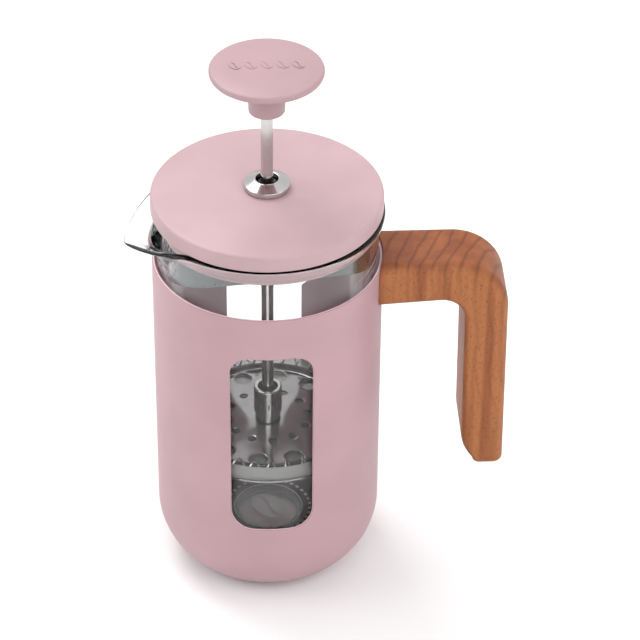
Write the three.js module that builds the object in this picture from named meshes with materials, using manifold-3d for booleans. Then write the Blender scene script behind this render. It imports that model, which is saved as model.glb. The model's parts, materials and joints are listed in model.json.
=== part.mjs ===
// French press: a glass beaker in a painted steel casing with two windows, a wooden
// handle, a lid with a strainer skirt, and a plunger that carries a sprung mesh filter.
// Millimetres, +Z up. The origin is the centre of the foot pad's underside.
// +X points to the handle, and the windows face -Y and +Y.

import * as THREE from 'three';
import { mergeVertices } from 'three/addons/utils/BufferGeometryUtils.js';
import Module from 'manifold-3d';

const wasm = await Module();
wasm.setup();

// ---------------------------------------------------------------- driving dimensions

const GAP = 0.3;                 // clearance between pieces that touch or rest on each other
const LARGE_SEGMENTS = 40;       // facets round the casing, lid and filter
const GLASS_SEGMENTS = 48;
const SMALL_SEGMENTS = 16;       // facets round the rod, nuts and screws

const CASING_RADIUS = 38;
const CASING_WALL = 0.8;
const CASING_RIM_Z = 121.6;
const CASING_CORNER_RADIUS = 24;
const CASING_LOWEST_Z = 0.4;
const CASING_FLOOR_Z = 2.4;
const CORNER_CENTRE_RADIUS = CASING_RADIUS - CASING_CORNER_RADIUS;
const CORNER_CENTRE_Z = 22.2;

const WINDOW_HALF_WIDTH = 13.8;
const WINDOW_LOW_Z = 34.4;
const WINDOW_HIGH_Z = 106.2;
const WINDOW_CORNER_RADIUS = 7.5;

const FOOT_PAD_RADIUS = 22.4;
const SUPPORT_RADIUS = 31.2;
const SUPPORT_TOP_Z = 10.2;
const BEAKER_PAD_RADIUS = 28;
const BEAKER_PAD_TOP_Z = 11.9;

const GLASS_RADIUS = 36.6;
const GLASS_WALL = 2.2;
const GLASS_BASE_Z = 12.2;
const GLASS_FLOOR_THICKNESS = 2;
const GLASS_RIM_Z = 140.3;
const GLASS_LIP_RADIUS = 38.5;
const SPOUT_DIRECTION = 191;     // degrees from +X
const SPOUT_REACH = 10.2;        // how far the lip is pulled out past the round rim
const SPOUT_HALF_ANGLE = 33;
const SPOUT_START_Z = 125;
const SPOUT_DROP = 7;            // how far the pulled lip droops below the rim

const LID_RADIUS = 38;
const LID_LOW_Z = 140.7;
const LID_EDGE_TOP_Z = 146.3;
const LID_CENTRE_TOP_Z = 147.9;
const LID_WALL = 1.2;
const LINER_PLATE_Z = 141.6;
const LINER_SHEET = 0.7;
const SKIRT_RADIUS = 33.9;
const SKIRT_LOBE_Z = 120.4;      // lowest edge of the skirt, at its two lobes
const SKIRT_ARCH_Z = 135.4;      // skirt edge half way between the lobes
const STRAINER_DIRECTION = 187;  // degrees from +X, the middle of the perforated lobe

const ROD_RADIUS = 2;
const ROD_BOTTOM_Z = 46.9;
const ROD_TOP_Z = 187;
const BORE_RADIUS = ROD_RADIUS + GAP;
const GUIDE_BORE_RADIUS = 2.1;
const GUIDE_HOLE_RADIUS = 5.5;   // hole in the lid and liner for the guide nut's shank
const GUIDE_SHANK_LOW_Z = 137.6;
const BUSH_RADIUS = 3.4;
const BUSH_LOW_Z = 136.3;
const BUSH_TOP_Z = 149.6;
const BUSH_FLANGE = 1;           // thickness of the bush's flange under the nut's shank

const KNOB_RADIUS = 18.4;
const KNOB_TOP_Z = 193.9;
const STEM_RADIUS = 5.9;
const STEM_BOTTOM_Z = 177;

const FILTER_RADIUS = 34;
const FILTER_NUT_Z = [47.8, 50.6];
const CROSS_PLATE_Z = [50.9, 51.7];
const SCREEN_Z = 52;
const SCREEN_RIM_Z = 59;
const PLATE_Z = 52.9;
const PLATE_SHEET = 0.7;
const PLATE_RIM_RADIUS = 27.8;
const PLATE_RISE = 1.4;          // height of the plate's domed middle over its rim
const PLATE_RISE_RADIUS = 12;
const HUB_RADIUS = 4.75;
const HUB_Z = [57.2, 67.3];
const COLLAR_RADIUS = 4.1;
const COLLAR_Z = [55.3, 56.9];
const SPRING_RADIUS = 30.7;
const SPRING_COIL_RADIUS = 2.2;
const SPRING_WIRE_RADIUS = 0.35;
const SPRING_TURNS = 35;
const SPRING_Z = 56.2;

const HANDLE_HALF_DEPTH = 12;
const HANDLE_TOP_Z = 122.8;
const HANDLE_BOTTOM_Z = 39.6;
const HANDLE_OUTER_X = 79.4;
const HANDLE_LEG_INNER_X = 65;
const HANDLE_ARM_UNDER_Z = 107.6;
const HANDLE_CORNER_RADIUS = 18;
const HANDLE_INNER_RADIUS = 8;
const HANDLE_EDGE_RADIUS = 3;
const SADDLE_FACETS = 96;
const SCREW_PLACES = [45.5, 54]; // x of the two handle screws
const SCREW_HEAD_RADIUS = 3.4;
const SCREW_SHANK_RADIUS = 1.9;
const SCREW_HEAD_Z = 110.6;
const SCREW_TIP_Z = 119.6;
const POCKET_TOP_Z = 112.9;      // top of the screw-head pockets in the arm's underside
const TANG_LOW_Z = 114.2;
const TANG_HIGH_Z = 116.4;
const TANG_HALF_WIDTH = 5;
const TANG_END_X = 60;
const BRACKET_FOOT_Z = [111.5, 119.5];
const BRACKET_FOOT_RADIUS = 39.8;
const BRACKET_FOOT_HALF_WIDTH = 8;

// ---------------------------------------------------------------- finishes

const finish = (color, metalness, roughness) => () => (
  new THREE.MeshStandardMaterial({ color, metalness, roughness })
);
const pinkPaint = finish(0xd0a0a8, 0, 0.55);
const polishedSteel = finish(0xc8c8ca, 1, 0.18);
const brushedSteel = finish(0xb4b4b6, 1, 0.38);
const beech = finish(0xa8683c, 0, 0.5);
const clearGlass = finish(0xdfe8e6, 0, 0.05);
const silicone = finish(0x4a4448, 0, 0.8);
const nylon = finish(0x2c2c2e, 0, 0.6);
const brass = finish(0xb89a5a, 1, 0.3);

// ---------------------------------------------------------------- geometry helpers

const point = (x, y) => new THREE.Vector2(x, y);
const radians = THREE.MathUtils.degToRad;

/** Points on an arc in the profile plane, from one angle to another in degrees. */
function arc(centreX, centreY, radius, from, to, steps) {
  return Array.from({ length: steps + 1 }, (_, index) => {
    const angle = radians(from + (to - from) * index / steps);
    return point(centreX + radius * Math.cos(angle), centreY + radius * Math.sin(angle));
  });
}

/** A closed solid from any geometry: shared vertices merged and faces turned outwards. */
function solid(geometry) {
  const bare = geometry.clone();
  bare.deleteAttribute('normal');
  bare.deleteAttribute('uv');
  const merged = mergeVertices(bare, 1e-4);
  const position = merged.getAttribute('position').array;
  const index = merged.getIndex().array;
  const corner = (vertex) => new THREE.Vector3().fromArray(position, vertex * 3);
  const faces = [];
  let volume = 0;
  for (let i = 0; i < index.length; i += 3) {
    const [a, b, c] = index.subarray(i, i + 3);
    if (a === b || b === c || c === a) continue;
    faces.push([a, b, c]);
    volume += corner(a).dot(corner(b).cross(corner(c)));
  }
  const outward = volume > 0 ? faces : faces.map(([a, b, c]) => [a, c, b]);
  return new wasm.Manifold(new wasm.Mesh({
    numProp: 3,
    vertProperties: Float32Array.from(position),
    triVerts: Uint32Array.from(outward.flat()),
  }));
}

/** The closed solid's triangles as a BufferGeometry. */
function surface(body) {
  const { vertProperties, triVerts } = body.getMesh();
  const geometry = new THREE.BufferGeometry();
  geometry.setAttribute('position', new THREE.BufferAttribute(vertProperties, 3));
  geometry.setIndex(new THREE.BufferAttribute(triVerts, 1));
  return geometry;
}

/** A named mesh of one solid, flat shaded like the sheet and turned parts that it is. */
function piece(name, body, material) {
  const geometry = surface(body).toNonIndexed();
  geometry.computeVertexNormals();
  const mesh = new THREE.Mesh(geometry, material());
  mesh.name = name;
  return mesh;
}

/** The profile's points turned about +Z. */
function turnedGeometry(profile, segments) {
  return new THREE.LatheGeometry(profile, segments).rotateX(Math.PI / 2);
}

const turned = (profile, segments) => solid(turnedGeometry(profile, segments));

/** A ring of rectangular section, as a closed profile. */
function ringProfile(inner, outer, low, high) {
  return [point(inner, low), point(outer, low), point(outer, high), point(inner, high), point(inner, low)];
}

const ring = (inner, outer, low, high, segments) => turned(ringProfile(inner, outer, low, high), segments);

/** A disc or rod on an upright axis through (x, y). */
function upright(radius, low, high, x = 0, y = 0, segments = SMALL_SEGMENTS) {
  const geometry = new THREE.CylinderGeometry(radius, radius, high - low, segments);
  geometry.rotateX(Math.PI / 2);
  geometry.translate(x, y, (low + high) / 2);
  return solid(geometry);
}

/** A box between two corners. */
function block(low, high) {
  const size = high.map((value, axis) => value - low[axis]);
  const geometry = new THREE.BoxGeometry(...size);
  geometry.translate(...high.map((value, axis) => (value + low[axis]) / 2));
  return solid(geometry);
}

/** A shape drawn in X and Z, extruded evenly to both sides of the XZ plane. */
function extrudedAcross(shape, halfDepth, options = {}) {
  const { edge = 0, edgeSteps = 0, curveSegments = 6 } = options;
  const geometry = new THREE.ExtrudeGeometry(shape, {
    depth: 2 * (halfDepth - edge),
    bevelEnabled: edge > 0,
    bevelThickness: edge,
    bevelSize: edge,
    bevelOffset: -edge,
    bevelSegments: edgeSteps,
    curveSegments,
  });
  geometry.translate(0, 0, -(halfDepth - edge));
  geometry.rotateX(Math.PI / 2);
  return solid(geometry);
}

/** A hexagon nut with a round bore. */
function hexNut(cornerRadius, bore, low, high) {
  return upright(cornerRadius, low, high, 0, 0, 6).subtract(upright(bore, low - 1, high + 1));
}

/** Upright hole cutters, evenly spaced on a circle. */
function holeCircle(count, circleRadius, holeRadius, low, high, startDegrees) {
  return Array.from({ length: count }, (_, index) => {
    const angle = radians(startDegrees + 360 * index / count);
    return upright(holeRadius, low, high, circleRadius * Math.cos(angle), circleRadius * Math.sin(angle), 8);
  });
}

const cutAll = (body, cutters) => cutters.reduce((left, cutter) => left.subtract(cutter), body);

// ---------------------------------------------------------------- housing

/** Rounded rectangle of a casing window, in X and Z. */
function windowShape() {
  const shape = new THREE.Shape();
  const [w, low, high, r] = [WINDOW_HALF_WIDTH, WINDOW_LOW_Z, WINDOW_HIGH_Z, WINDOW_CORNER_RADIUS];
  shape.moveTo(-w + r, low);
  shape.lineTo(w - r, low);
  shape.absarc(w - r, low + r, r, -Math.PI / 2, 0, false);
  shape.lineTo(w, high - r);
  shape.absarc(w - r, high - r, r, 0, Math.PI / 2, false);
  shape.lineTo(-w + r, high);
  shape.absarc(-w + r, high - r, r, Math.PI / 2, Math.PI, false);
  shape.lineTo(-w, low + r);
  shape.absarc(-w + r, low + r, r, Math.PI, Math.PI * 1.5, false);
  return shape;
}

/** Drawn steel cup with a round lower edge, a recess for the foot pad and two windows. */
function casing() {
  const innerRadius = CASING_RADIUS - CASING_WALL;
  const innerCorner = CASING_CORNER_RADIUS - CASING_WALL;
  const floorTop = CASING_FLOOR_Z + CASING_WALL;
  const cornerAngle = (radius, z) => -THREE.MathUtils.radToDeg(Math.asin((CORNER_CENTRE_Z - z) / radius));
  const outerStart = cornerAngle(CASING_CORNER_RADIUS, CASING_LOWEST_Z);
  const innerEnd = cornerAngle(innerCorner, floorTop);
  const profile = [
    point(0, CASING_FLOOR_Z),
    point(FOOT_PAD_RADIUS + GAP, CASING_FLOOR_Z),
    point(FOOT_PAD_RADIUS + GAP + 0.4, CASING_LOWEST_Z),
    ...arc(CORNER_CENTRE_RADIUS, CORNER_CENTRE_Z, CASING_CORNER_RADIUS, outerStart, 0, 5),
    point(CASING_RADIUS, CASING_RIM_Z - 0.3),
    point(CASING_RADIUS - 0.3, CASING_RIM_Z),
    point(innerRadius, CASING_RIM_Z),
    ...arc(CORNER_CENTRE_RADIUS, CORNER_CENTRE_Z, innerCorner, 0, innerEnd, 5),
    point(0, floorTop),
  ];
  const cutter = extrudedAcross(windowShape(), CASING_RADIUS + 5, { curveSegments: 4 });
  return piece('casing', turned(profile, LARGE_SEGMENTS).subtract(cutter), pinkPaint);
}

/** Silicone disc under the casing; its underside is what the press stands on. */
function footPad() {
  const profile = [
    point(0, 0),
    point(FOOT_PAD_RADIUS - 0.4, 0),
    point(FOOT_PAD_RADIUS, 0.4),
    point(FOOT_PAD_RADIUS, CASING_FLOOR_Z - GAP),
    point(0, CASING_FLOOR_Z - GAP),
  ];
  return piece('foot_pad', turned(profile, LARGE_SEGMENTS), silicone);
}

/** Moulded platform on a foot ring that lifts the beaker above the round bottom. */
function baseSupport() {
  const platform = SUPPORT_TOP_Z - 1.6;
  const foot = CASING_FLOOR_Z + CASING_WALL + GAP;
  const profile = [
    point(0, platform),
    point(17.5, platform),
    point(18, foot),
    point(20, foot),
    point(20.5, platform),
    point(SUPPORT_RADIUS, platform),
    point(SUPPORT_RADIUS, SUPPORT_TOP_Z),
    point(0, SUPPORT_TOP_Z),
  ];
  return piece('base_support', turned(profile, 32), nylon);
}

/** Outline of the wooden handle: an arm out from the casing and a leg down. */
function handleOutline() {
  const cornerX = HANDLE_OUTER_X - HANDLE_CORNER_RADIUS;
  const cornerZ = HANDLE_TOP_Z - HANDLE_CORNER_RADIUS;
  const innerX = HANDLE_LEG_INNER_X - HANDLE_INNER_RADIUS;
  const underZ = HANDLE_ARM_UNDER_Z + 0.8;
  const armStart = CASING_RADIUS - 8;
  const legFlare = 0.6;
  const toe = 3.6;
  const toeZ = HANDLE_BOTTOM_Z + toe;
  return new THREE.Shape([
    point(armStart, HANDLE_TOP_Z),
    point(armStart, HANDLE_ARM_UNDER_Z - 1),
    ...arc(innerX, underZ - HANDLE_INNER_RADIUS, HANDLE_INNER_RADIUS, 90, 0, 6),
    ...arc(HANDLE_LEG_INNER_X + legFlare + toe, toeZ, toe, 180, 270, 2),
    ...arc(HANDLE_OUTER_X + legFlare - toe, toeZ, toe, 270, 360, 2),
    ...arc(cornerX, cornerZ, HANDLE_CORNER_RADIUS, 0, 90, 10),
  ]);
}

/** Solid beech handle, saddled to the casing, with a slot for the tang and screw holes. */
function woodHandle() {
  const blank = extrudedAcross(handleOutline(), HANDLE_HALF_DEPTH, {
    edge: HANDLE_EDGE_RADIUS,
    edgeSteps: 3,
  });
  const cutters = [
    upright(CASING_RADIUS + GAP, HANDLE_BOTTOM_Z, HANDLE_TOP_Z + 1, 0, 0, SADDLE_FACETS),
    bracketFoot(GAP),
    tangBlock(CASING_RADIUS, GAP),
    ...SCREW_PLACES.map((x) => upright(SCREW_SHANK_RADIUS + GAP, HANDLE_BOTTOM_Z, SCREW_TIP_Z + 0.4, x)),
    ...SCREW_PLACES.map((x) => upright(SCREW_HEAD_RADIUS + GAP, HANDLE_BOTTOM_Z, POCKET_TOP_Z, x)),
  ];
  return piece('wood_handle', cutAll(blank, cutters), beech);
}

/** The bracket's curved foot, grown by a margin when it is used as a cutter. */
function bracketFoot(margin) {
  const inner = CASING_RADIUS + GAP - 2 * margin;
  const outer = BRACKET_FOOT_RADIUS + margin;
  const [low, high] = BRACKET_FOOT_Z;
  const half = BRACKET_FOOT_HALF_WIDTH + margin;
  const sleeve = ring(inner, outer, low - margin, high + margin, SADDLE_FACETS);
  return sleeve.intersect(block([0, -half, low - 1], [outer + 1, half, high + 1]));
}

/** The tang's flat bar from x = start outwards, grown by a margin when it is used as a cutter. */
function tangBlock(start, margin) {
  const half = TANG_HALF_WIDTH + margin;
  return block([start, -half, TANG_LOW_Z - margin], [TANG_END_X + margin, half, TANG_HIGH_Z + margin]);
}

/** Steel bracket welded to the casing, with a flat tang inside the handle's arm. */
function handleBracket() {
  const tang = tangBlock(CASING_RADIUS + 1.2, 0);
  const holes = SCREW_PLACES.map((x) => (
    upright(SCREW_SHANK_RADIUS + GAP, SCREW_HEAD_Z, SCREW_TIP_Z, x)
  ));
  return piece('handle_bracket', cutAll(bracketFoot(0).add(tang), holes), brushedSteel);
}

/** Countersunk screw driven up through the arm into the tang. */
function handleScrew(name, x) {
  const profile = [
    point(0, SCREW_HEAD_Z),
    point(SCREW_HEAD_RADIUS, SCREW_HEAD_Z),
    point(SCREW_HEAD_RADIUS, SCREW_HEAD_Z + 0.4),
    point(SCREW_SHANK_RADIUS, SCREW_HEAD_Z + 2),
    point(SCREW_SHANK_RADIUS, SCREW_TIP_Z - 0.7),
    point(SCREW_SHANK_RADIUS - 0.6, SCREW_TIP_Z),
    point(0, SCREW_TIP_Z),
  ];
  const socket = upright(1.2, SCREW_HEAD_Z - 1, SCREW_HEAD_Z + 1.2, 0, 0, 6);
  const screw = piece(name, turned(profile, SMALL_SEGMENTS).subtract(socket), polishedSteel);
  screw.position.x = x;
  return screw;
}

// ---------------------------------------------------------------- beaker

/** Silicone ring that the beaker stands and turns on. */
function beakerPad() {
  const body = ring(10, BEAKER_PAD_RADIUS, SUPPORT_TOP_Z + GAP, BEAKER_PAD_TOP_Z, 32);
  return piece('beaker_pad', body, silicone);
}

/** Pulls the upper wall of a turned glass out and down into a pointed pouring lip. */
function pullSpout(geometry) {
  const position = geometry.getAttribute('position');
  const height = GLASS_RIM_Z - SPOUT_START_Z;
  for (let i = 0; i < position.count; i += 1) {
    const [x, y, z] = [position.getX(i), position.getY(i), position.getZ(i)];
    const rise = Math.max(0, (z - SPOUT_START_Z) / height);
    const turn = THREE.MathUtils.radToDeg(Math.atan2(y, x)) - SPOUT_DIRECTION;
    const offAxis = Math.abs(THREE.MathUtils.euclideanModulo(turn + 180, 360) - 180);
    const halfAngle = SPOUT_HALF_ANGLE * (0.6 + 0.4 * rise);
    const inside = 1 - Math.hypot(offAxis, 2) / halfAngle;
    const across = (inside + Math.hypot(inside, 0.15)) / 2;
    const pull = across * rise ** 1.6;
    const scale = 1 + SPOUT_REACH * pull / Math.hypot(x, y);
    position.setXYZ(i, x * scale, y * scale, z - SPOUT_DROP * pull);
  }
  return geometry;
}

/** Borosilicate beaker with a round lower edge, a thickened rim and a spout. */
function glassBeaker() {
  const floor = GLASS_BASE_Z + GLASS_FLOOR_THICKNESS;
  const inner = GLASS_RADIUS - GLASS_WALL;
  const outerCorner = 7;
  const innerCorner = 5;
  const profile = [
    point(0, GLASS_BASE_Z),
    ...arc(GLASS_RADIUS - outerCorner, GLASS_BASE_Z + outerCorner, outerCorner, -90, 0, 3),
    point(GLASS_RADIUS, SPOUT_START_Z),
    point(GLASS_RADIUS, SPOUT_START_Z + 5),
    point(GLASS_RADIUS + 0.6, GLASS_RIM_Z - 4.6),
    point(GLASS_LIP_RADIUS, GLASS_RIM_Z - 1.6),
    point(GLASS_LIP_RADIUS - 0.2, GLASS_RIM_Z - 0.5),
    point(GLASS_RADIUS + 0.6, GLASS_RIM_Z),
    point(GLASS_RADIUS - 0.8, GLASS_RIM_Z - 0.4),
    point(inner + 0.4, GLASS_RIM_Z - 2.2),
    point(inner, GLASS_RIM_Z - 5.5),
    point(inner, SPOUT_START_Z + 5),
    point(inner, SPOUT_START_Z),
    ...arc(inner - innerCorner, floor + innerCorner, innerCorner, 0, -90, 3),
    point(0, floor),
  ];
  const blank = turnedGeometry(profile, GLASS_SEGMENTS).rotateZ(radians(SPOUT_DIRECTION + 90));
  return piece('glass_beaker', solid(pullSpout(blank)), clearGlass);
}

// ---------------------------------------------------------------- lid

/** Painted cap: a shallow domed shell with a rounded edge. */
function lidCap() {
  const inside = LID_RADIUS - LID_WALL;
  const round = 1.3;
  const profile = [
    point(GUIDE_HOLE_RADIUS, LID_CENTRE_TOP_Z - LID_WALL),
    point(GUIDE_HOLE_RADIUS, LID_CENTRE_TOP_Z),
    point(20, LID_CENTRE_TOP_Z - 0.35),
    point(30, LID_EDGE_TOP_Z + 0.7),
    ...arc(LID_RADIUS - round, LID_EDGE_TOP_Z - round, round, 80, 0, 3),
    point(LID_RADIUS, LID_LOW_Z + 0.4),
    point(LID_RADIUS - 0.4, LID_LOW_Z),
    point(inside, LID_LOW_Z),
    point(inside, LID_EDGE_TOP_Z - LID_WALL - 0.8),
    point(inside - 0.8, LID_EDGE_TOP_Z - LID_WALL),
    point(20, LID_CENTRE_TOP_Z - LID_WALL - 0.35),
    point(GUIDE_HOLE_RADIUS, LID_CENTRE_TOP_Z - LID_WALL),
  ];
  return piece('lid_cap', turned(profile, LARGE_SEGMENTS), pinkPaint);
}

/** Everything below the skirt's wavy edge: a parabola across the lobes, extruded. */
function skirtEdgeCutter() {
  const reach = 40;
  const low = SKIRT_LOBE_Z - 5;
  const sideZ = SKIRT_LOBE_Z + (SKIRT_ARCH_Z - SKIRT_LOBE_Z) * (reach / SKIRT_RADIUS) ** 2;
  const controlZ = 2 * SKIRT_LOBE_Z - sideZ;
  const shape = new THREE.Shape();
  shape.moveTo(-reach, low);
  shape.lineTo(-reach, sideZ);
  shape.quadraticCurveTo(0, controlZ, reach, sideZ);
  shape.lineTo(reach, low);
  const geometry = new THREE.ExtrudeGeometry(shape, {
    depth: 2 * reach,
    bevelEnabled: false,
    curveSegments: 14,
  });
  geometry.translate(0, 0, -reach);
  geometry.rotateX(Math.PI / 2);
  geometry.rotateZ(radians(STRAINER_DIRECTION + 90));
  return solid(geometry);
}

/** Radial pegs that pierce the strainer lobe in staggered rows. */
function strainerPegs() {
  const columns = 11;
  const rows = 4;
  const columnStep = 5;
  const rowStep = 2.6;
  const lowestZ = SKIRT_LOBE_Z + 4;
  const pegs = [];
  for (let row = 0; row < rows; row += 1) {
    const shift = row % 2 ? columnStep / 2 : 0;
    for (let column = row % 2; column < columns; column += 1) {
      const degrees = STRAINER_DIRECTION + (column - (columns - 1) / 2) * columnStep - shift;
      const geometry = new THREE.CylinderGeometry(0.75, 0.75, 6, 6);
      geometry.rotateZ(Math.PI / 2);
      geometry.translate(SKIRT_RADIUS, 0, lowestZ + row * rowStep);
      geometry.rotateZ(radians(degrees));
      pegs.push(solid(geometry));
    }
  }
  return pegs;
}

/** Pressed steel liner: a plate inside the cap and a strainer skirt inside the glass. */
function lidLiner() {
  const top = LINER_PLATE_Z + LINER_SHEET;
  const flange = LID_RADIUS - LID_WALL - 0.5;
  const profile = [
    point(GUIDE_HOLE_RADIUS, LINER_PLATE_Z),
    point(SKIRT_RADIUS - LINER_SHEET, LINER_PLATE_Z),
    point(SKIRT_RADIUS - LINER_SHEET, SKIRT_LOBE_Z),
    point(SKIRT_RADIUS, SKIRT_LOBE_Z),
    point(SKIRT_RADIUS, LINER_PLATE_Z),
    point(flange, LINER_PLATE_Z),
    point(flange, top),
    point(GUIDE_HOLE_RADIUS, top),
    point(GUIDE_HOLE_RADIUS, LINER_PLATE_Z),
  ];
  const body = turned(profile, LARGE_SEGMENTS).subtract(skirtEdgeCutter());
  return piece('lid_liner', cutAll(body, strainerPegs()), polishedSteel);
}

/** Polished nut on the lid: a cone-topped head on a threaded shank, bored for the guide. */
function guideNut() {
  const seat = LID_CENTRE_TOP_Z + GAP;
  const top = seat + 3.3;
  const bore = BUSH_RADIUS + GAP;
  const shank = GUIDE_HOLE_RADIUS - GAP;
  const head = 7.6;
  const profile = [
    point(bore, GUIDE_SHANK_LOW_Z),
    point(shank, GUIDE_SHANK_LOW_Z),
    point(shank, seat),
    point(head, seat),
    point(head, seat + 1.5),
    point(head - 0.4, seat + 1.8),
    point(bore + 0.5, top),
    point(bore, top),
    point(bore, GUIDE_SHANK_LOW_Z),
  ];
  return piece('guide_nut', turned(profile, 24), polishedSteel);
}

/** Hexagon nut that clamps the liner and the cap on the guide nut's shank. */
function guideLocknut() {
  const nut = hexNut(8.4, GUIDE_HOLE_RADIUS, GUIDE_SHANK_LOW_Z + 0.4, LINER_PLATE_Z - GAP);
  return piece('guide_locknut', nut, brushedSteel);
}

/** Nylon bush in the guide nut: the rod slides in it and the lid turns round it. */
function guideBush() {
  const profile = [
    point(GUIDE_BORE_RADIUS, BUSH_LOW_Z),
    point(5, BUSH_LOW_Z),
    point(5, BUSH_LOW_Z + BUSH_FLANGE),
    point(BUSH_RADIUS, BUSH_LOW_Z + BUSH_FLANGE),
    point(BUSH_RADIUS, BUSH_TOP_Z),
    point(GUIDE_BORE_RADIUS, BUSH_TOP_Z),
    point(GUIDE_BORE_RADIUS, BUSH_LOW_Z),
  ];
  return piece('guide_bush', turned(profile, SMALL_SEGMENTS), nylon);
}

// ---------------------------------------------------------------- plunger

/** Round push knob: a flat disc on a slightly tapered stem. */
function knob() {
  const boreRadius = 3.6;
  const boreTop = ROD_TOP_Z + 1;
  const profile = [
    point(0, boreTop),
    point(boreRadius, boreTop),
    point(boreRadius, STEM_BOTTOM_Z),
    point(STEM_RADIUS - 0.4, STEM_BOTTOM_Z),
    point(STEM_RADIUS, STEM_BOTTOM_Z + 0.4),
    point(STEM_RADIUS + 0.3, KNOB_TOP_Z - 6),
    point(STEM_RADIUS + 1.3, KNOB_TOP_Z - 4.6),
    point(KNOB_RADIUS - 2.2, KNOB_TOP_Z - 4.1),
    point(KNOB_RADIUS - 0.5, KNOB_TOP_Z - 3.4),
    point(KNOB_RADIUS, KNOB_TOP_Z - 2.4),
    point(KNOB_RADIUS - 0.2, KNOB_TOP_Z - 1.2),
    point(KNOB_RADIUS - 1.1, KNOB_TOP_Z - 0.6),
    point(KNOB_RADIUS - 6, KNOB_TOP_Z - 0.2),
    point(0, KNOB_TOP_Z),
  ];
  return piece('knob', turned(profile, 32), pinkPaint);
}

/** Threaded brass sleeve in the knob's stem, screwed onto the rod. */
function knobInsert() {
  const sleeve = ring(BORE_RADIUS, BORE_RADIUS + 1, STEM_BOTTOM_Z + GAP, ROD_TOP_Z + 0.6, SMALL_SEGMENTS);
  return piece('knob_insert', sleeve, brass);
}

/** Straight steel rod with a small chamfer at both ends. */
function plungerRod() {
  const chamfer = 0.5;
  const profile = [
    point(0, ROD_BOTTOM_Z),
    point(ROD_RADIUS - chamfer, ROD_BOTTOM_Z),
    point(ROD_RADIUS, ROD_BOTTOM_Z + chamfer),
    point(ROD_RADIUS, ROD_TOP_Z - chamfer),
    point(ROD_RADIUS - chamfer, ROD_TOP_Z),
    point(0, ROD_TOP_Z),
  ];
  return piece('plunger_rod', turned(profile, SMALL_SEGMENTS), polishedSteel);
}

/** Turned hub that screws onto the rod's end and clamps the filter, bored wide at its top. */
function filterHub() {
  const [low, high] = HUB_Z;
  const wideBore = 3.4;
  const profile = [
    point(BORE_RADIUS, low),
    point(HUB_RADIUS, low),
    point(HUB_RADIUS, high - 0.5),
    point(HUB_RADIUS - 0.5, high),
    point(wideBore, high),
    point(wideBore, high - 5),
    point(BORE_RADIUS, high - 6.5),
    point(BORE_RADIUS, low),
  ];
  return piece('filter_hub', turned(profile, 20), polishedSteel);
}

/** Collar washer between the hub and the domed middle of the spiral plate. */
function hubWasher() {
  return piece('hub_washer', ring(BORE_RADIUS, COLLAR_RADIUS, ...COLLAR_Z, 20), brushedSteel);
}

/** Upper filter plate: domed middle, two circles of holes and a turned-up rim that holds the spring. */
function spiralPlate() {
  const dome = [BORE_RADIUS, 6, 10, 14, 18, 22].map((radius) => (
    point(radius, PLATE_Z + PLATE_RISE * Math.exp(-((radius / PLATE_RISE_RADIUS) ** 2)))
  ));
  const rim = PLATE_RIM_RADIUS;
  const profile = [
    ...dome,
    point(rim - 0.7, PLATE_Z),
    point(rim, PLATE_Z + 2.6),
    point(rim - 0.5, PLATE_Z + 2.8),
    point(rim - 1.2, PLATE_Z + PLATE_SHEET),
    ...dome.map(({ x, y }) => point(x, y + PLATE_SHEET)).reverse(),
    dome[0],
  ];
  const [low, high] = [PLATE_Z - 1, PLATE_Z + PLATE_RISE + 2];
  const small = holeCircle(12, 13.8, 1.5, low, high, 5);
  const large = holeCircle(12, 23.2, 3.2, low, high, 20);
  return piece('spiral_plate', cutAll(turned(profile, LARGE_SEGMENTS), [...small, ...large]), polishedSteel);
}

/** Centre line of the spring: a helix bent round into a ring, with its ends just apart. */
class RingSpringCurve extends THREE.Curve {
  getPoint(t, target = new THREE.Vector3()) {
    const round = 2 * Math.PI * 0.995 * t;
    const coil = 2 * Math.PI * SPRING_TURNS * t;
    const radius = SPRING_RADIUS + SPRING_COIL_RADIUS * Math.cos(coil);
    return target.set(
      radius * Math.cos(round),
      radius * Math.sin(round),
      SPRING_Z + SPRING_COIL_RADIUS * Math.sin(coil),
    );
  }
}

/** Wire spring round the rim of the spiral plate, which presses the mesh to the glass. */
function edgeSpring() {
  const wire = new THREE.Shape(arc(0, 0, SPRING_WIRE_RADIUS, 0, 270, 3));
  const extrudePath = new RingSpringCurve();
  extrudePath.arcLengthDivisions = SPRING_TURNS * 60;
  const geometry = new THREE.ExtrudeGeometry(wire, {
    steps: SPRING_TURNS * 5,
    extrudePath,
    bevelEnabled: false,
  });
  return piece('edge_spring', solid(geometry), polishedSteel);
}

/** Fine woven screen: a disc whose edge turns up round the spring. */
function meshScreen() {
  const sheet = 0.4;
  const bend = 3;
  const flat = FILTER_RADIUS - bend;
  const profile = [
    point(BORE_RADIUS, SCREEN_Z),
    point(flat, SCREEN_Z),
    ...arc(flat, SCREEN_Z + bend, bend, -60, 0, 2),
    point(FILTER_RADIUS, SCREEN_RIM_Z),
    point(FILTER_RADIUS - sheet, SCREEN_RIM_Z),
    ...arc(flat, SCREEN_Z + bend, bend - sheet, 0, -60, 2),
    point(flat, SCREEN_Z + sheet),
    point(BORE_RADIUS, SCREEN_Z + sheet),
    point(BORE_RADIUS, SCREEN_Z),
  ];
  return piece('mesh_screen', turned(profile, LARGE_SEGMENTS), brushedSteel);
}

/** Lower filter plate with wide openings, which backs the screen. */
function crossPlate() {
  const [low, high] = CROSS_PLATE_Z;
  const disc = ring(BORE_RADIUS, FILTER_RADIUS - 1.7, low, high, LARGE_SEGMENTS);
  const openings = holeCircle(8, 21.5, 6, low - 1, high + 1, 22.5);
  return piece('cross_plate', cutAll(disc, openings), polishedSteel);
}

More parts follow.
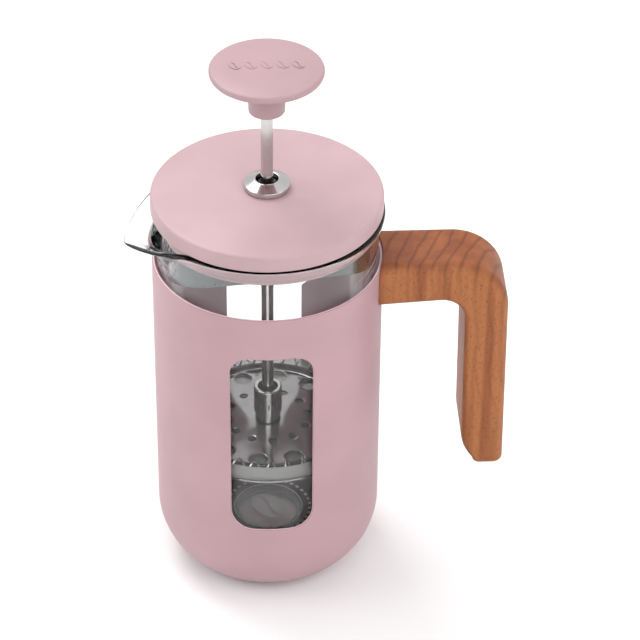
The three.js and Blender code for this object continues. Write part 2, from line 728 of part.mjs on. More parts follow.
/** Hexagon nut under the filter stack. */
function filterNut() {
  return piece('filter_nut', hexNut(4.9, BORE_RADIUS, ...FILTER_NUT_Z), brushedSteel);
}

// ---------------------------------------------------------------- assembly

/** A group of the given pieces. */
function assembly(...pieces) {
  return new THREE.Group().add(...pieces);
}

const frenchPress = assembly(
  assembly(
    casing(),
    footPad(),
    baseSupport(),
    woodHandle(),
    handleBracket(),
    handleScrew('handle_screw_inner', SCREW_PLACES[0]),
    handleScrew('handle_screw_outer', SCREW_PLACES[1]),
  ),
  assembly(beakerPad(), glassBeaker()),
  assembly(lidCap(), lidLiner(), guideNut(), guideLocknut(), guideBush()),
  assembly(
    knob(),
    knobInsert(),
    plungerRod(),
    filterHub(),
    hubWasher(),
    spiralPlate(),
    edgeSpring(),
    meshScreen(),
    crossPlate(),
    filterNut(),
  ),
);

export default frenchPress;
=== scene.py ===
"""Looks of a french press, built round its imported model.

A glass beaker stands in a painted steel casing with two windows and a beech handle. A painted lid
with a steel strainer skirt closes it, and a knob, rod and sprung mesh filter slide through the lid.
Lengths are in millimetres until a mesh is written, and +Z is up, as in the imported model.
"""

import json
import logging
import math
from collections.abc import Callable, Sequence
from dataclasses import dataclass, field
from enum import Enum
from typing import Any

import bmesh
import bpy
import numpy as np
from mathutils import Matrix, Vector

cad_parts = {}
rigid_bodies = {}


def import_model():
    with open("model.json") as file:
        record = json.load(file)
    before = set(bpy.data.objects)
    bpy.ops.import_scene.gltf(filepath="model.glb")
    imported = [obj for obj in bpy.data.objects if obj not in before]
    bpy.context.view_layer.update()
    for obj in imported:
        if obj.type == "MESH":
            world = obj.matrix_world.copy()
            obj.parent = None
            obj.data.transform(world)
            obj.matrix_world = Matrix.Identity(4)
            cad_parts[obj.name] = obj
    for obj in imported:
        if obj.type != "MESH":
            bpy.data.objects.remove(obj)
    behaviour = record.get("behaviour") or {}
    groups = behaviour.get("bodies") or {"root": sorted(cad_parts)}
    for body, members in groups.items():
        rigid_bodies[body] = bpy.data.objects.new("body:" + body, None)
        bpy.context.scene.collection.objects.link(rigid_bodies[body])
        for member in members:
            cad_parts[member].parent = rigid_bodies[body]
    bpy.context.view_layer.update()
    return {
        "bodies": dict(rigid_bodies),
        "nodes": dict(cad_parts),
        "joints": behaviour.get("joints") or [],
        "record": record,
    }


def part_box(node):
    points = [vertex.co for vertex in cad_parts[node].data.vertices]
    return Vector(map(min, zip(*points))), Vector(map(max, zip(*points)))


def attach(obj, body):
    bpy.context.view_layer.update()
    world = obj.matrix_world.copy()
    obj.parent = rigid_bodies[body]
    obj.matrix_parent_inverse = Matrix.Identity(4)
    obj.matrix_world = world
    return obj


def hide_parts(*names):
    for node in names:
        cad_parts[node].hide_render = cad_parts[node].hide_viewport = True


log = logging.getLogger("french_press")

MM = 0.001
TURN = 2 * math.pi
RAISED = 0.05


# ------------------------------------------------------------------ surfaces


@dataclass
class Surface:
    """Points and faces of a piece, in millimetres.

    Args:
        points: one row of x, y, z for each vertex.
        faces: arrays of vertex numbers, one row for each face.
        coords: u and v of each vertex, in millimetres along the surface, or None.
    """

    points: np.ndarray
    faces: list[np.ndarray]
    coords: np.ndarray | None = None

    def joined(self, other: "Surface") -> "Surface":
        """This surface and another as one."""
        shift = len(self.points)
        faces = [*self.faces, *(part + shift for part in other.faces)]
        return Surface(np.vstack([self.points, other.points]), faces)

    def moved(self, x: float = 0.0, y: float = 0.0, z: float = 0.0) -> "Surface":
        """The same surface, moved."""
        return Surface(self.points + np.array([x, y, z]), self.faces, self.coords)


def grid_faces(rows: int, columns: int, wrap_rows: bool = False, wrap_columns: bool = False) -> np.ndarray:
    """Quads of a grid of vertices numbered row by row.

    Args:
        rows: how many rows of vertices.
        columns: how many vertices in each row.
        wrap_rows: the last row joins the first.
        wrap_columns: the last column joins the first.

    Returns:
        One row of four vertex numbers for each quad.
    """
    row = np.arange(rows if wrap_rows else rows - 1)[:, None]
    column = np.arange(columns if wrap_columns else columns - 1)[None, :]
    next_row = (row + 1) % rows
    next_column = (column + 1) % columns
    corners = (
        row * columns + column,
        row * columns + next_column,
        next_row * columns + next_column,
        next_row * columns + column,
    )
    return np.stack([np.broadcast_to(c, (row.size, column.size)) for c in corners], -1).reshape(-1, 4)


def softened(
    corners: Sequence[tuple[float, float]],
    cut: float | Sequence[float],
    closed: bool = False,
    steps: int = 4,
) -> np.ndarray:
    """A polyline with rounded corners.

    Each corner P is replaced by the curve (1-s)^2 A + 2(1-s)s P + s^2 B, where A and B lie on its
    two sides, cut away from P. A point just outside A and B keeps the flats flat when shaded.

    Args:
        corners: the polyline's corners.
        cut: how far from each corner its rounding starts, one value or one for each corner.
        closed: the last corner joins the first. An open line keeps its two ends.
        steps: spans in each rounding.

    Returns:
        The points, one row each.
    """
    line = np.asarray(corners, float)
    cuts = np.broadcast_to(np.asarray(cut, float), len(line))
    last = len(line) - 1
    s = np.linspace(0, 1, steps + 1)[:, None]
    parts = []
    for i, corner in enumerate(line):
        if not closed and i in (0, last):
            parts.append(corner[None])
            continue
        before = line[i - 1] - corner
        after = line[(i + 1) % len(line)] - corner
        reach = min(cuts[i], 0.45 * np.linalg.norm(before), 0.45 * np.linalg.norm(after))
        if reach < 1e-6:
            parts.append(corner[None])
            continue
        before = before / np.linalg.norm(before)
        after = after / np.linalg.norm(after)
        start, end = corner + reach * before, corner + reach * after
        bend = (1 - s) ** 2 * start + 2 * (1 - s) * s * corner + s**2 * end
        parts.append(np.vstack([start + 0.12 * reach * before, bend, end + 0.12 * reach * after]))
    return np.vstack(parts)


def arc(centre: tuple[float, float], radius: float, start: float, end: float, steps: int) -> np.ndarray:
    """Points on an arc, from one angle to another in degrees."""
    angle = np.radians(np.linspace(start, end, steps + 1))
    return np.stack([centre[0] + radius * np.cos(angle), centre[1] + radius * np.sin(angle)], -1)


def around(radius: Any, turn: np.ndarray, height: Any) -> np.ndarray:
    """Points at these radii, angles in radians and heights: x = r cos a, y = r sin a."""
    return np.stack(np.broadcast_arrays(radius * np.cos(turn), radius * np.sin(turn), height), -1)


def revolved(profile: np.ndarray, segments: int, closed: bool = False, start: float = 0.0) -> Surface:
    """A profile of radius and height turned about +Z: x = r cos a, y = r sin a, z = z.

    Args:
        profile: radius and height of each point.
        segments: how many steps round the axis.
        closed: the profile's last point joins its first.
        start: the angle of the first column, in degrees.

    Returns:
        The turned surface.
    """
    angle = math.radians(start) + np.arange(segments) * TURN / segments
    radius, height = profile[:, :1], profile[:, 1:]
    points = around(radius, angle, height)
    return Surface(points.reshape(-1, 3), [grid_faces(len(profile), segments, closed, True)])


def hexagonal(across: float, bore: float, low: float, high: float, chamfer: float) -> Surface:
    """A hexagon nut with chamfered corners and a round bore.

    The outer radius is the smaller of the hexagon's, a/cos(angle from the flat's middle), and a
    cone's that narrows towards both ends.

    Args:
        across: distance across the flats.
        bore: radius of the bore.
        low: height of the lower face.
        high: height of the upper face.
        chamfer: how far the cone cuts into the corners.

    Returns:
        The nut's closed surface.
    """
    segments = 96
    angle = np.arange(segments) * TURN / segments
    flat = (angle + TURN / 12) % (TURN / 6) - TURN / 12
    hexagon = across / 2 / np.cos(flat)
    corner = across / 2 / math.cos(TURN / 12)
    rise = chamfer * 0.58
    inset = corner - chamfer
    levels = np.array([[low, inset], [low + rise, corner], [high - rise, corner], [high, inset]])
    fine = np.vstack([np.linspace(levels[i], levels[i + 1], 5)[:-1] for i in range(3)] + [levels[3:]])
    outer = np.minimum(hexagon[None, :], fine[:, 1:])
    ease = 0.25
    inner = np.array([[bore + ease, high], [bore, high - ease], [bore, low + ease], [bore + ease, low]])
    radius = np.vstack([outer, np.broadcast_to(inner[:, :1], (4, segments))])
    height = np.concatenate([fine[:, 0], inner[:, 1]])[:, None]
    points = np.stack(
        [radius * np.cos(angle), radius * np.sin(angle), np.broadcast_to(height, radius.shape)], -1
    )
    return Surface(points.reshape(-1, 3), [grid_faces(len(height), segments, True, True)])


def swept(path: np.ndarray, across: np.ndarray, radius: float, sides: int) -> Surface:
    """A round wire along a path, with its two ends closed.

    Args:
        path: points of the centre line.
        across: for each point, a vector that isn't along the path, from which the section turns.
        radius: the wire's radius.
        sides: vertices round the wire.

    Returns:
        The wire's closed surface.
    """
    along = np.gradient(path, axis=0)
    along /= np.linalg.norm(along, axis=1, keepdims=True)
    first = across - np.sum(across * along, 1, keepdims=True) * along
    first /= np.linalg.norm(first, axis=1, keepdims=True)
    second = np.cross(along, first)
    angle = np.arange(sides) * TURN / sides
    ring = np.cos(angle)[None, :, None] * first[:, None] + np.sin(angle)[None, :, None] * second[:, None]
    points = (path[:, None] + radius * ring).reshape(-1, 3)
    end = (len(path) - 1) * sides
    caps = [np.arange(sides)[None, ::-1], np.arange(end, end + sides)[None]]
    return Surface(points, [grid_faces(len(path), sides, False, True), *caps])


# ------------------------------------------------------------------ openings in sheets


@dataclass(frozen=True)
class RoundHole:
    """A round opening in a flat sheet."""

    x: float
    y: float
    radius: float

    def depth(self, flat: np.ndarray) -> np.ndarray:
        """How far outside the outline each point is, negative inside."""
        return np.linalg.norm(flat - (self.x, self.y), axis=1) - self.radius

    def nearest(self, flat: np.ndarray) -> np.ndarray:
        """The outline's closest point to each point."""
        away = flat - (self.x, self.y)
        return (self.x, self.y) + self.radius * away / np.linalg.norm(away, axis=1, keepdims=True)


@dataclass(frozen=True)
class RoundedOpening:
    """A rectangular opening with round corners in a flat sheet."""

    x: float
    y: float
    half_width: float
    half_height: float
    corner: float

    def _core(self, flat: np.ndarray) -> tuple[np.ndarray, np.ndarray]:
        """Each point's distance past the core rectangle that the corners turn about, and its sides."""
        away = flat - (self.x, self.y)
        inner = np.array([self.half_width - self.corner, self.half_height - self.corner])
        return np.abs(away) - inner, np.where(away < 0, -1.0, 1.0)

    def depth(self, flat: np.ndarray) -> np.ndarray:
        """How far outside the outline each point is, negative inside."""
        past, _ = self._core(flat)
        return np.linalg.norm(np.maximum(past, 0), axis=1) + np.minimum(past.max(1), 0) - self.corner

    def nearest(self, flat: np.ndarray) -> np.ndarray:
        """The outline's closest point to each point near it.

        Args:
            flat: points in the sheet.

        Returns:
            One point of the outline for each of them.
        """
        past, side = self._core(flat)
        inner = np.array([self.half_width - self.corner, self.half_height - self.corner])
        rounded = (past > 0).all(1)
        corner = np.maximum(past, 1e-9)
        corner = corner / np.linalg.norm(corner, axis=1, keepdims=True) * self.corner
        straight = past.copy()
        wide = past[:, 0] > past[:, 1]
        straight[wide, 0] = self.corner
        straight[~wide, 1] = self.corner
        return (self.x, self.y) + side * (inner + np.where(rounded[:, None], corner, straight))


Opening = RoundHole | RoundedOpening


def pierced(
    flat: np.ndarray, quads: np.ndarray, openings: Sequence[Opening]
) -> tuple[np.ndarray, np.ndarray]:
    """Cuts openings into a flat grid: drops the quads inside and draws the edge onto the outline.

    Args:
        flat: the grid's two flat coordinates at each vertex.
        quads: the grid's faces.
        openings: what to cut.

    Returns:
        The flat coordinates with the edges drawn in, and the quads that are left.
    """
    flat = flat.copy()
    for opening in openings:
        inside = opening.depth(flat[quads].mean(1)) < 0
        edge = np.intersect1d(quads[inside], quads[~inside])
        flat[edge] = opening.nearest(flat[edge])
        quads = quads[~inside]
    return flat, quads


def compact(points: np.ndarray, quads: np.ndarray) -> Surface:
    """The surface with only the vertices that its faces use."""
    used, renumbered = np.unique(quads, return_inverse=True)
    return Surface(points[used], [renumbered.reshape(quads.shape)])


def spaced(*stretches: tuple[float, float, int]) -> np.ndarray:
    """Numbers along joined stretches, each given as its start, its end and how many steps."""
    parts = [np.linspace(start, end, steps + 1)[:-1] for start, end, steps in stretches]
    return np.concatenate([*parts, [stretches[-1][1]]])


# ------------------------------------------------------------------ shader building


class Value:
    """A shader socket that takes part in Python arithmetic, which adds Math nodes."""

    def __init__(self, shader: "Shader", socket: bpy.types.NodeSocket) -> None:
        """Wraps one output socket of a shader's node."""
        self.shader = shader
        self.socket = socket

    def _math(self, operation: str, *values: "Value | float") -> "Value":
        """A Math node on these values."""
        return self.shader.node("ShaderNodeMath", dict(enumerate(values)), {"operation": operation})

    def __add__(self, other: "Value | float") -> "Value":
        """self + other."""
        return self._math("ADD", self, other)

    def __radd__(self, other: float) -> "Value":
        """other + self."""
        return self._math("ADD", other, self)

    def __sub__(self, other: "Value | float") -> "Value":
        """self - other."""
        return self._math("SUBTRACT", self, other)

    def __rsub__(self, other: float) -> "Value":
        """other - self."""
        return self._math("SUBTRACT", other, self)

    def __mul__(self, other: "Value | float") -> "Value":
        """self * other."""
        return self._math("MULTIPLY", self, other)

    def __rmul__(self, other: float) -> "Value":
        """other * self."""
        return self._math("MULTIPLY", other, self)

    def __truediv__(self, other: "Value | float") -> "Value":
        """self / other."""
        return self._math("DIVIDE", self, other)

    def __abs__(self) -> "Value":
        """abs(self)."""
        return self._math("ABSOLUTE", self)

    def __pow__(self, other: float) -> "Value":
        """self ** other."""
        return self._math("POWER", self, other)

    def sine(self) -> "Value":
        """The sine of self."""
        return self._math("SINE", self)

    def ramp(self, low: float, high: float, to_low: float = 0.0, to_high: float = 1.0) -> "Value":
        """Smooth step from to_low, where self is low, to to_high, where it is high."""
        inputs = {"Value": self, 1: low, 2: high, 3: to_low, 4: to_high}
        return self.shader.node("ShaderNodeMapRange", inputs, {"interpolation_type": "SMOOTHSTEP"})


class Shader:
    """A material's node tree with a Principled surface."""

    def __init__(self, name: str) -> None:
        """Starts an empty material of that name."""
        self.material = bpy.data.materials.new(name)
        self.material.use_nodes = True
        self.tree = self.material.node_tree
        self.tree.nodes.clear()

    def node(
        self,
        kind: str,
        inputs: dict[str | int, Any] | None = None,
        settings: dict[str, Any] | None = None,
        output: str | int | None = 0,
    ) -> Value | None:
        """Adds one node.

        Args:
            kind: the node's type.
            inputs: values or links of its sockets, by name or number.
            settings: properties set before the sockets; "stops" are a colour ramp's.
            output: which output is wanted, None for a node that has none.

        Returns:
            That output.
        """
        node = self.tree.nodes.new(kind)
        for key, value in (settings or {}).items():
            if key == "stops":
                elements = node.color_ramp.elements
                while len(elements) < len(value):
                    elements.new(0.5)
                for element, (position, colour) in zip(elements, value):
                    element.position = position
                    element.color = (*colour, 1.0)
            else:
                setattr(node, key, value)
        for key, value in (inputs or {}).items():
            if isinstance(value, Value):
                self.tree.links.new(value.socket, node.inputs[key])
            else:
                node.inputs[key].default_value = value
        return None if output is None else Value(self, node.outputs[output])

    def place(self, scale: Sequence[float] = (1, 1, 1), turn: Sequence[float] = (0, 0, 0)) -> Value:
        """Object coordinates in millimetres, turned and then scaled along each axis."""
        coords = self.node("ShaderNodeTexCoord", output="Object")
        turned = self.node("ShaderNodeMapping", {"Vector": coords, "Rotation": tuple(turn)})
        size = tuple(value / MM for value in scale)
        return self.node("ShaderNodeMapping", {"Vector": turned, "Scale": size})

    def parts(self, vector: Value) -> tuple[Value, Value, Value]:
        """The x, y and z of a vector."""
        first = self.node("ShaderNodeSeparateXYZ", {"Vector": vector})
        outputs = first.socket.node.outputs
        return first, Value(self, outputs[1]), Value(self, outputs[2])

    def noise(self, vector: Value, scale: float, detail: float = 2.0, roughness: float = 0.5) -> Value:
        """Noise from 0 to 1 with features about 1/scale millimetres wide."""
        inputs = {"Vector": vector, "Scale": scale, "Detail": detail, "Roughness": roughness}
        return self.node("ShaderNodeTexNoise", inputs)

    def blend(self, factor: Value, first: Sequence[float] | Value, second: Sequence[float] | Value) -> Value:
        """A colour from first, at 0, to second, at 1."""
        inputs = {0: factor, 6: _rgba(first), 7: _rgba(second)}
        return self.node("ShaderNodeMix", inputs, {"data_type": "RGBA"}, output=2)

    def bump(self, height: Value, distance: float, strength: float = 1.0) -> Value:
        """The normal over a height of 0 to 1 that stands distance millimetres high."""
        inputs = {"Height": height, "Distance": distance * MM, "Strength": strength}
        return self.node("ShaderNodeBump", inputs)

    def principled(self, **inputs: Any) -> Value:
        """A Principled shader with these sockets, underscores for spaces."""
        named = {key.replace("_", " "): value for key, value in inputs.items()}
        named["Base Color"] = _rgba(named["Base Color"])
        return self.node("ShaderNodeBsdfPrincipled", named)

    def closed(self, surface: Value) -> bpy.types.Material:
        """Ends the tree in this surface."""
        self.node("ShaderNodeOutputMaterial", {"Surface": surface}, output=None)
        return self.material

    def finished(self, **inputs: Any) -> bpy.types.Material:
        """Ends the tree in a Principled shader with these sockets."""
        return self.closed(self.principled(**inputs))


def _rgba(colour: Any) -> Any:
    """A colour of three numbers with alpha 1, or a link as it is."""
    return colour if isinstance(colour, Value) or len(colour) == 4 else (*colour, 1.0)


# ------------------------------------------------------------------ finishes


@dataclass(frozen=True)
class Paint:
    """Matt powder paint or moulded plastic: a fine orange peel and slightly uneven colour.

    Inside the casing wall, above a given height, its colour is paler: painted light that brightens the dim
    inner wall.
    """

    name: str
    colour: tuple[float, float, float]
    roughness: float = 0.5
    peel: float = 0.012
    # Paler colour inside the casing: painted light standing in for the light that barely reaches the inner
    # wall.
    painted_light_radius: float = 0.0
    painted_light_z: float = 0.0
    painted_light_colour: tuple[float, float, float] = (0.88, 0.60, 0.65)

    def material(self) -> bpy.types.Material:
        """The paint's material."""
        shader = Shader(self.name)
        place = shader.place()
        cloud = shader.noise(place, 0.035, 3)
        grain = shader.noise(place, 2.2, 2)
        deeper = tuple(value * 0.95 for value in self.colour)
        lighter = tuple(min(1.0, value * 1.03) for value in self.colour)
        colour = shader.blend(cloud.ramp(0.3, 0.7), deeper, lighter)
        # Painted light: the inner wall's colour is made paler where little light reaches it.
        if self.painted_light_radius:
            x, y, z = shader.parts(place)
            from_axis = (x * x + y * y) ** 0.5
            within = from_axis.ramp(self.painted_light_radius, self.painted_light_radius - 0.1)
            inside = within * z.ramp(self.painted_light_z, self.painted_light_z + 1)
            colour = shader.blend(inside, colour, self.painted_light_colour)
        return shader.finished(
            Base_Color=colour,
            Roughness=grain.ramp(0.2, 0.8, self.roughness - 0.04, self.roughness + 0.05),
            Normal=shader.bump(grain, self.peel, 0.5),
        )


class Brushing(Enum):
    """How a metal surface was worked."""

    TURNED = "turned on a lathe, marks round the axis"
    ROLLED = "rolled sheet, marks along the sheet"
    DRAWN = "drawn along +Z"


@dataclass(frozen=True)
class Steel:
    """Stainless steel with fine working marks."""

    name: str
    colour: tuple[float, float, float]
    roughness: float
    brushing: Brushing
    marks: float = 0.002

    def material(self) -> bpy.types.Material:
        """The metal's material."""
        shader = Shader(self.name)
        place = shader.place()
        x, y, z = shader.parts(place)
        if self.brushing is Brushing.TURNED:
            radius = (x * x + y * y) ** 0.5
            around = shader.node("ShaderNodeCombineXYZ", {0: radius * 9.0, 1: z * 9.0, 2: 0.0})
            marks = shader.noise(around, 1.0, 3)
        elif self.brushing is Brushing.DRAWN:
            marks = shader.noise(shader.place((9.0, 9.0, 0.05)), 1.0, 3)
        else:
            marks = shader.noise(shader.place((0.15, 7.0, 7.0)), 1.0, 3)
        smear = shader.noise(place, 0.12, 3)
        darker = tuple(value * 0.86 for value in self.colour)
        return shader.finished(
            Base_Color=shader.blend(smear.ramp(0.3, 0.75), self.colour, darker),
            Metallic=1.0,
            Roughness=marks.ramp(0.25, 0.75, self.roughness * 0.8, self.roughness * 1.3),
            Normal=shader.bump(marks, self.marks, 0.6),
        )


@dataclass(frozen=True)
class Beech:
    """Oiled beech: growth rings stand upright, and its rays show as short slanting flecks.

    Rings are planes at right angles to ring_normal, a little bent. A face across the fibres
    drinks more oil and is darker and redder.
    """

    name: str
    fibre: tuple[float, float, float] = (0.5, 0.0, 0.866)
    ring_normal: tuple[float, float, float] = (0.93, -0.36, 0.05)
    ring_spacing: float = 4.3

    def material(self) -> bpy.types.Material:
        """The wood's material."""
        shader = Shader(self.name)
        place = shader.place()
        warp = shader.noise(place, 0.035, 2)
        along = self._dot(shader, place, self.ring_normal)
        ring = (along / self.ring_spacing + warp * 2.4) * TURN
        wave = ring.sine() * 0.5 + 0.5
        late = wave**7.0
        tilt = math.asin(self.fibre[0])
        turn = (0.0, -tilt, 0.0)
        flecks = shader.noise(shader.place((3.4, 2.6, 0.62), turn), 1.0, 1, 0.3).ramp(0.60, 0.70)
        fine = shader.noise(shader.place((7.0, 7.0, 0.8), turn), 1.0, 2)
        bands = shader.noise(shader.place((0.30, 0.30, 0.012)), 1.0, 2)
        cloud = shader.noise(place, 0.12, 3)
        normal = shader.node("ShaderNodeTexCoord", output="Normal")
        end_grain = abs(self._dot(shader, normal, self.fibre)).ramp(0.2, 0.95)
        light, deep = (0.42, 0.150, 0.048), (0.300, 0.090, 0.028)
        red, dark = (0.215, 0.055, 0.020), (0.105, 0.026, 0.010)
        side = shader.blend(bands.ramp(0.35, 0.65), light, deep)
        body = shader.blend(end_grain * 0.8, side, shader.blend(cloud.ramp(0.35, 0.65), deep, red))
        ringed = shader.blend(late * (0.17 + 0.40 * end_grain), body, dark)
        speckled = shader.blend(flecks * (1 - end_grain * 0.7) * 0.55, ringed, dark)
        height = 0.5 * fine + wave * 0.3 - flecks * 0.7
        return shader.finished(
            Base_Color=shader.blend(fine.ramp(0.3, 0.8) * 0.16, speckled, dark),
            Roughness=fine.ramp(0.2, 0.8, 0.42, 0.58),
            Specular_IOR_Level=0.3,
            Coat_Weight=0.04,
            Coat_Roughness=0.25,
            Normal=shader.bump(height, 0.05, 0.4),
        )

    @staticmethod
    def _dot(shader: Shader, vector: Value, direction: Sequence[float]) -> Value:
        """The length of a vector along a direction."""
        inputs = {0: vector, 1: tuple(direction)}
        return shader.node("ShaderNodeVectorMath", inputs, {"operation": "DOT_PRODUCT"}, output=1)


@dataclass(frozen=True)
class Glass:
    """Clear blown borosilicate with a faint wave in its wall, which casts almost no shadow."""

    name: str
    tint: tuple[float, float, float] = (0.975, 0.99, 0.985)

    def material(self) -> bpy.types.Material:
        """The glass's material: lamps shine straight through it."""
        shader = Shader(self.name)
        wave = shader.noise(shader.place((1.0, 1.0, 0.3)), 0.05, 1)
        cooler = tuple(value * 0.99 for value in self.tint)
        body = shader.principled(
            Base_Color=shader.blend(wave, self.tint, cooler),
            Roughness=0.0,
            IOR=1.33,
            Transmission_Weight=1.0,
            Normal=shader.bump(wave, 0.03, 0.25),
        )
        clear = shader.node("ShaderNodeBsdfTransparent", {"Color": (0.95, 0.95, 0.95, 1.0)})
        shadow = shader.node("ShaderNodeLightPath", output="Is Shadow Ray")
        return shader.closed(shader.node("ShaderNodeMixShader", {0: shadow, 1: body, 2: clear}))


@dataclass(frozen=True)
class Frosting:
    """Sand-blasted glass of an etched mark."""

    name: str

    def material(self) -> bpy.types.Material:
        """The frosting's material."""
        shader = Shader(self.name)
        grain = shader.noise(shader.place(), 4.0, 2)
        return shader.finished(
            Base_Color=shader.blend(grain, (0.80, 0.75, 0.77), (0.92, 0.89, 0.90)),
            Roughness=grain.ramp(0.2, 0.8, 0.5, 0.75),
            Alpha=grain.ramp(0.1, 0.9, 0.35, 0.6),
        )


@dataclass(frozen=True)
class WireCloth:
    """Woven steel screen on u and v in millimetres: wires one pitch apart with open squares."""

    name: str
    pitch: float = 0.42
    colour: tuple[float, float, float] = (0.62, 0.61, 0.60)

    def material(self) -> bpy.types.Material:
        """The screen's material."""
        shader = Shader(self.name)
        u, v, _ = shader.parts(shader.node("ShaderNodeUVMap"))
        across = (u * (math.pi / self.pitch)).sine()
        along = (v * (math.pi / self.pitch)).sine()
        warp = 1 - abs(across)
        weft = 1 - abs(along)
        over = (across * along).ramp(-0.4, 0.4)
        crown = warp * over + weft * (1 - over)
        cover = shader.node("ShaderNodeMath", {0: warp, 1: weft}, {"operation": "MAXIMUM"}).ramp(0.32, 0.44)
        soot = shader.noise(shader.place(), 0.25, 3)
        # Colour runs from half bright where the weave dips between wires to full at the wire crowns: painted
        # shade in the weave's crevices. Soot adds random darker patches.
        dark = tuple(value * 0.5 for value in self.colour)
        return shader.finished(
            Base_Color=shader.blend(crown.ramp(0.2, 0.9) * soot.ramp(0.2, 0.6, 0.75, 1.0), dark, self.colour),
            Metallic=0.75,
            Roughness=crown.ramp(0.2, 0.9, 0.55, 0.36),
            Alpha=cover,
            Normal=shader.bump(crown, 0.10, 0.8),
        )


@dataclass(frozen=True)
class Moulding:
    """Moulded silicone or nylon: satin, finely grained and a little dusty."""

    name: str
    colour: tuple[float, float, float]
    roughness: float = 0.6

    def material(self) -> bpy.types.Material:
        """The moulding's material."""
        shader = Shader(self.name)
        place = shader.place()
        dust = shader.noise(place, 0.2, 4)
        grain = shader.noise(place, 3.0, 2)
        dusty = tuple(value * 1.6 + 0.01 for value in self.colour)
        return shader.finished(
            Base_Color=shader.blend(dust.ramp(0.45, 0.8) * 0.5, self.colour, dusty),
            Roughness=grain.ramp(0.2, 0.8, self.roughness - 0.08, self.roughness + 0.1),
            Normal=shader.bump(grain, 0.02, 0.5),
        )


# Its inner wall, above 26 mm and within 37.7 mm of the axis, is painted paler: painted light.
CASING_PAINT = Paint("pink_powder_paint", (0.455, 0.284, 0.311), 0.48, painted_light_radius=37.7, painted_light_z=26.0)
LID_PAINT = Paint("pink_lid_paint", (0.482, 0.326, 0.347), 0.46)
KNOB_PLASTIC = Paint("pink_moulding", (0.415, 0.268, 0.290), 0.42, 0.008)
POLISHED = Steel("polished_steel", (0.58, 0.57, 0.56), 0.15, Brushing.TURNED)
ROD_STEEL = Steel("drawn_steel", (0.58, 0.57, 0.56), 0.18, Brushing.DRAWN)
# Darker than bare steel and tinted mauve: painted shade and painted reflection of the pink casing on the
# filter plates.
SHADED_SHEET_STEEL = Steel("pressed_steel_painted_reflection", (0.36, 0.34, 0.345), 0.12, Brushing.TURNED, 0.001)
# Base colour far darker than stainless steel: painted reflection of dark surroundings on the strainer skirt
# inside the glass.
SHADED_SKIRT_STEEL = Steel("strainer_steel_painted_reflection", (0.17, 0.18, 0.185), 0.24, Brushing.ROLLED)
SATIN_STEEL = Steel("satin_steel", (0.60, 0.59, 0.58), 0.33, Brushing.TURNED, 0.004)
SPRING_STEEL = Steel("spring_steel", (0.74, 0.73, 0.71), 0.18, Brushing.ROLLED, 0.001)
BRASS = Steel("machined_brass", (0.62, 0.45, 0.20), 0.26, Brushing.TURNED, 0.003)
BEECH = Beech("oiled_beech")
GLASS = Glass("blown_glass")
FROSTING = Frosting("etched_frosting")
WIRE_CLOTH = WireCloth("woven_screen")
SILICONE = Moulding("dark_silicone", (0.045, 0.038, 0.042), 0.7)
NYLON = Moulding("black_nylon", (0.022, 0.021, 0.023), 0.5)
PINK_NYLON = Moulding("pink_nylon", (0.50, 0.33, 0.36), 0.5)

Finish = Paint | Steel | Beech | Glass | Frosting | WireCloth | Moulding


# ------------------------------------------------------------------ workshop


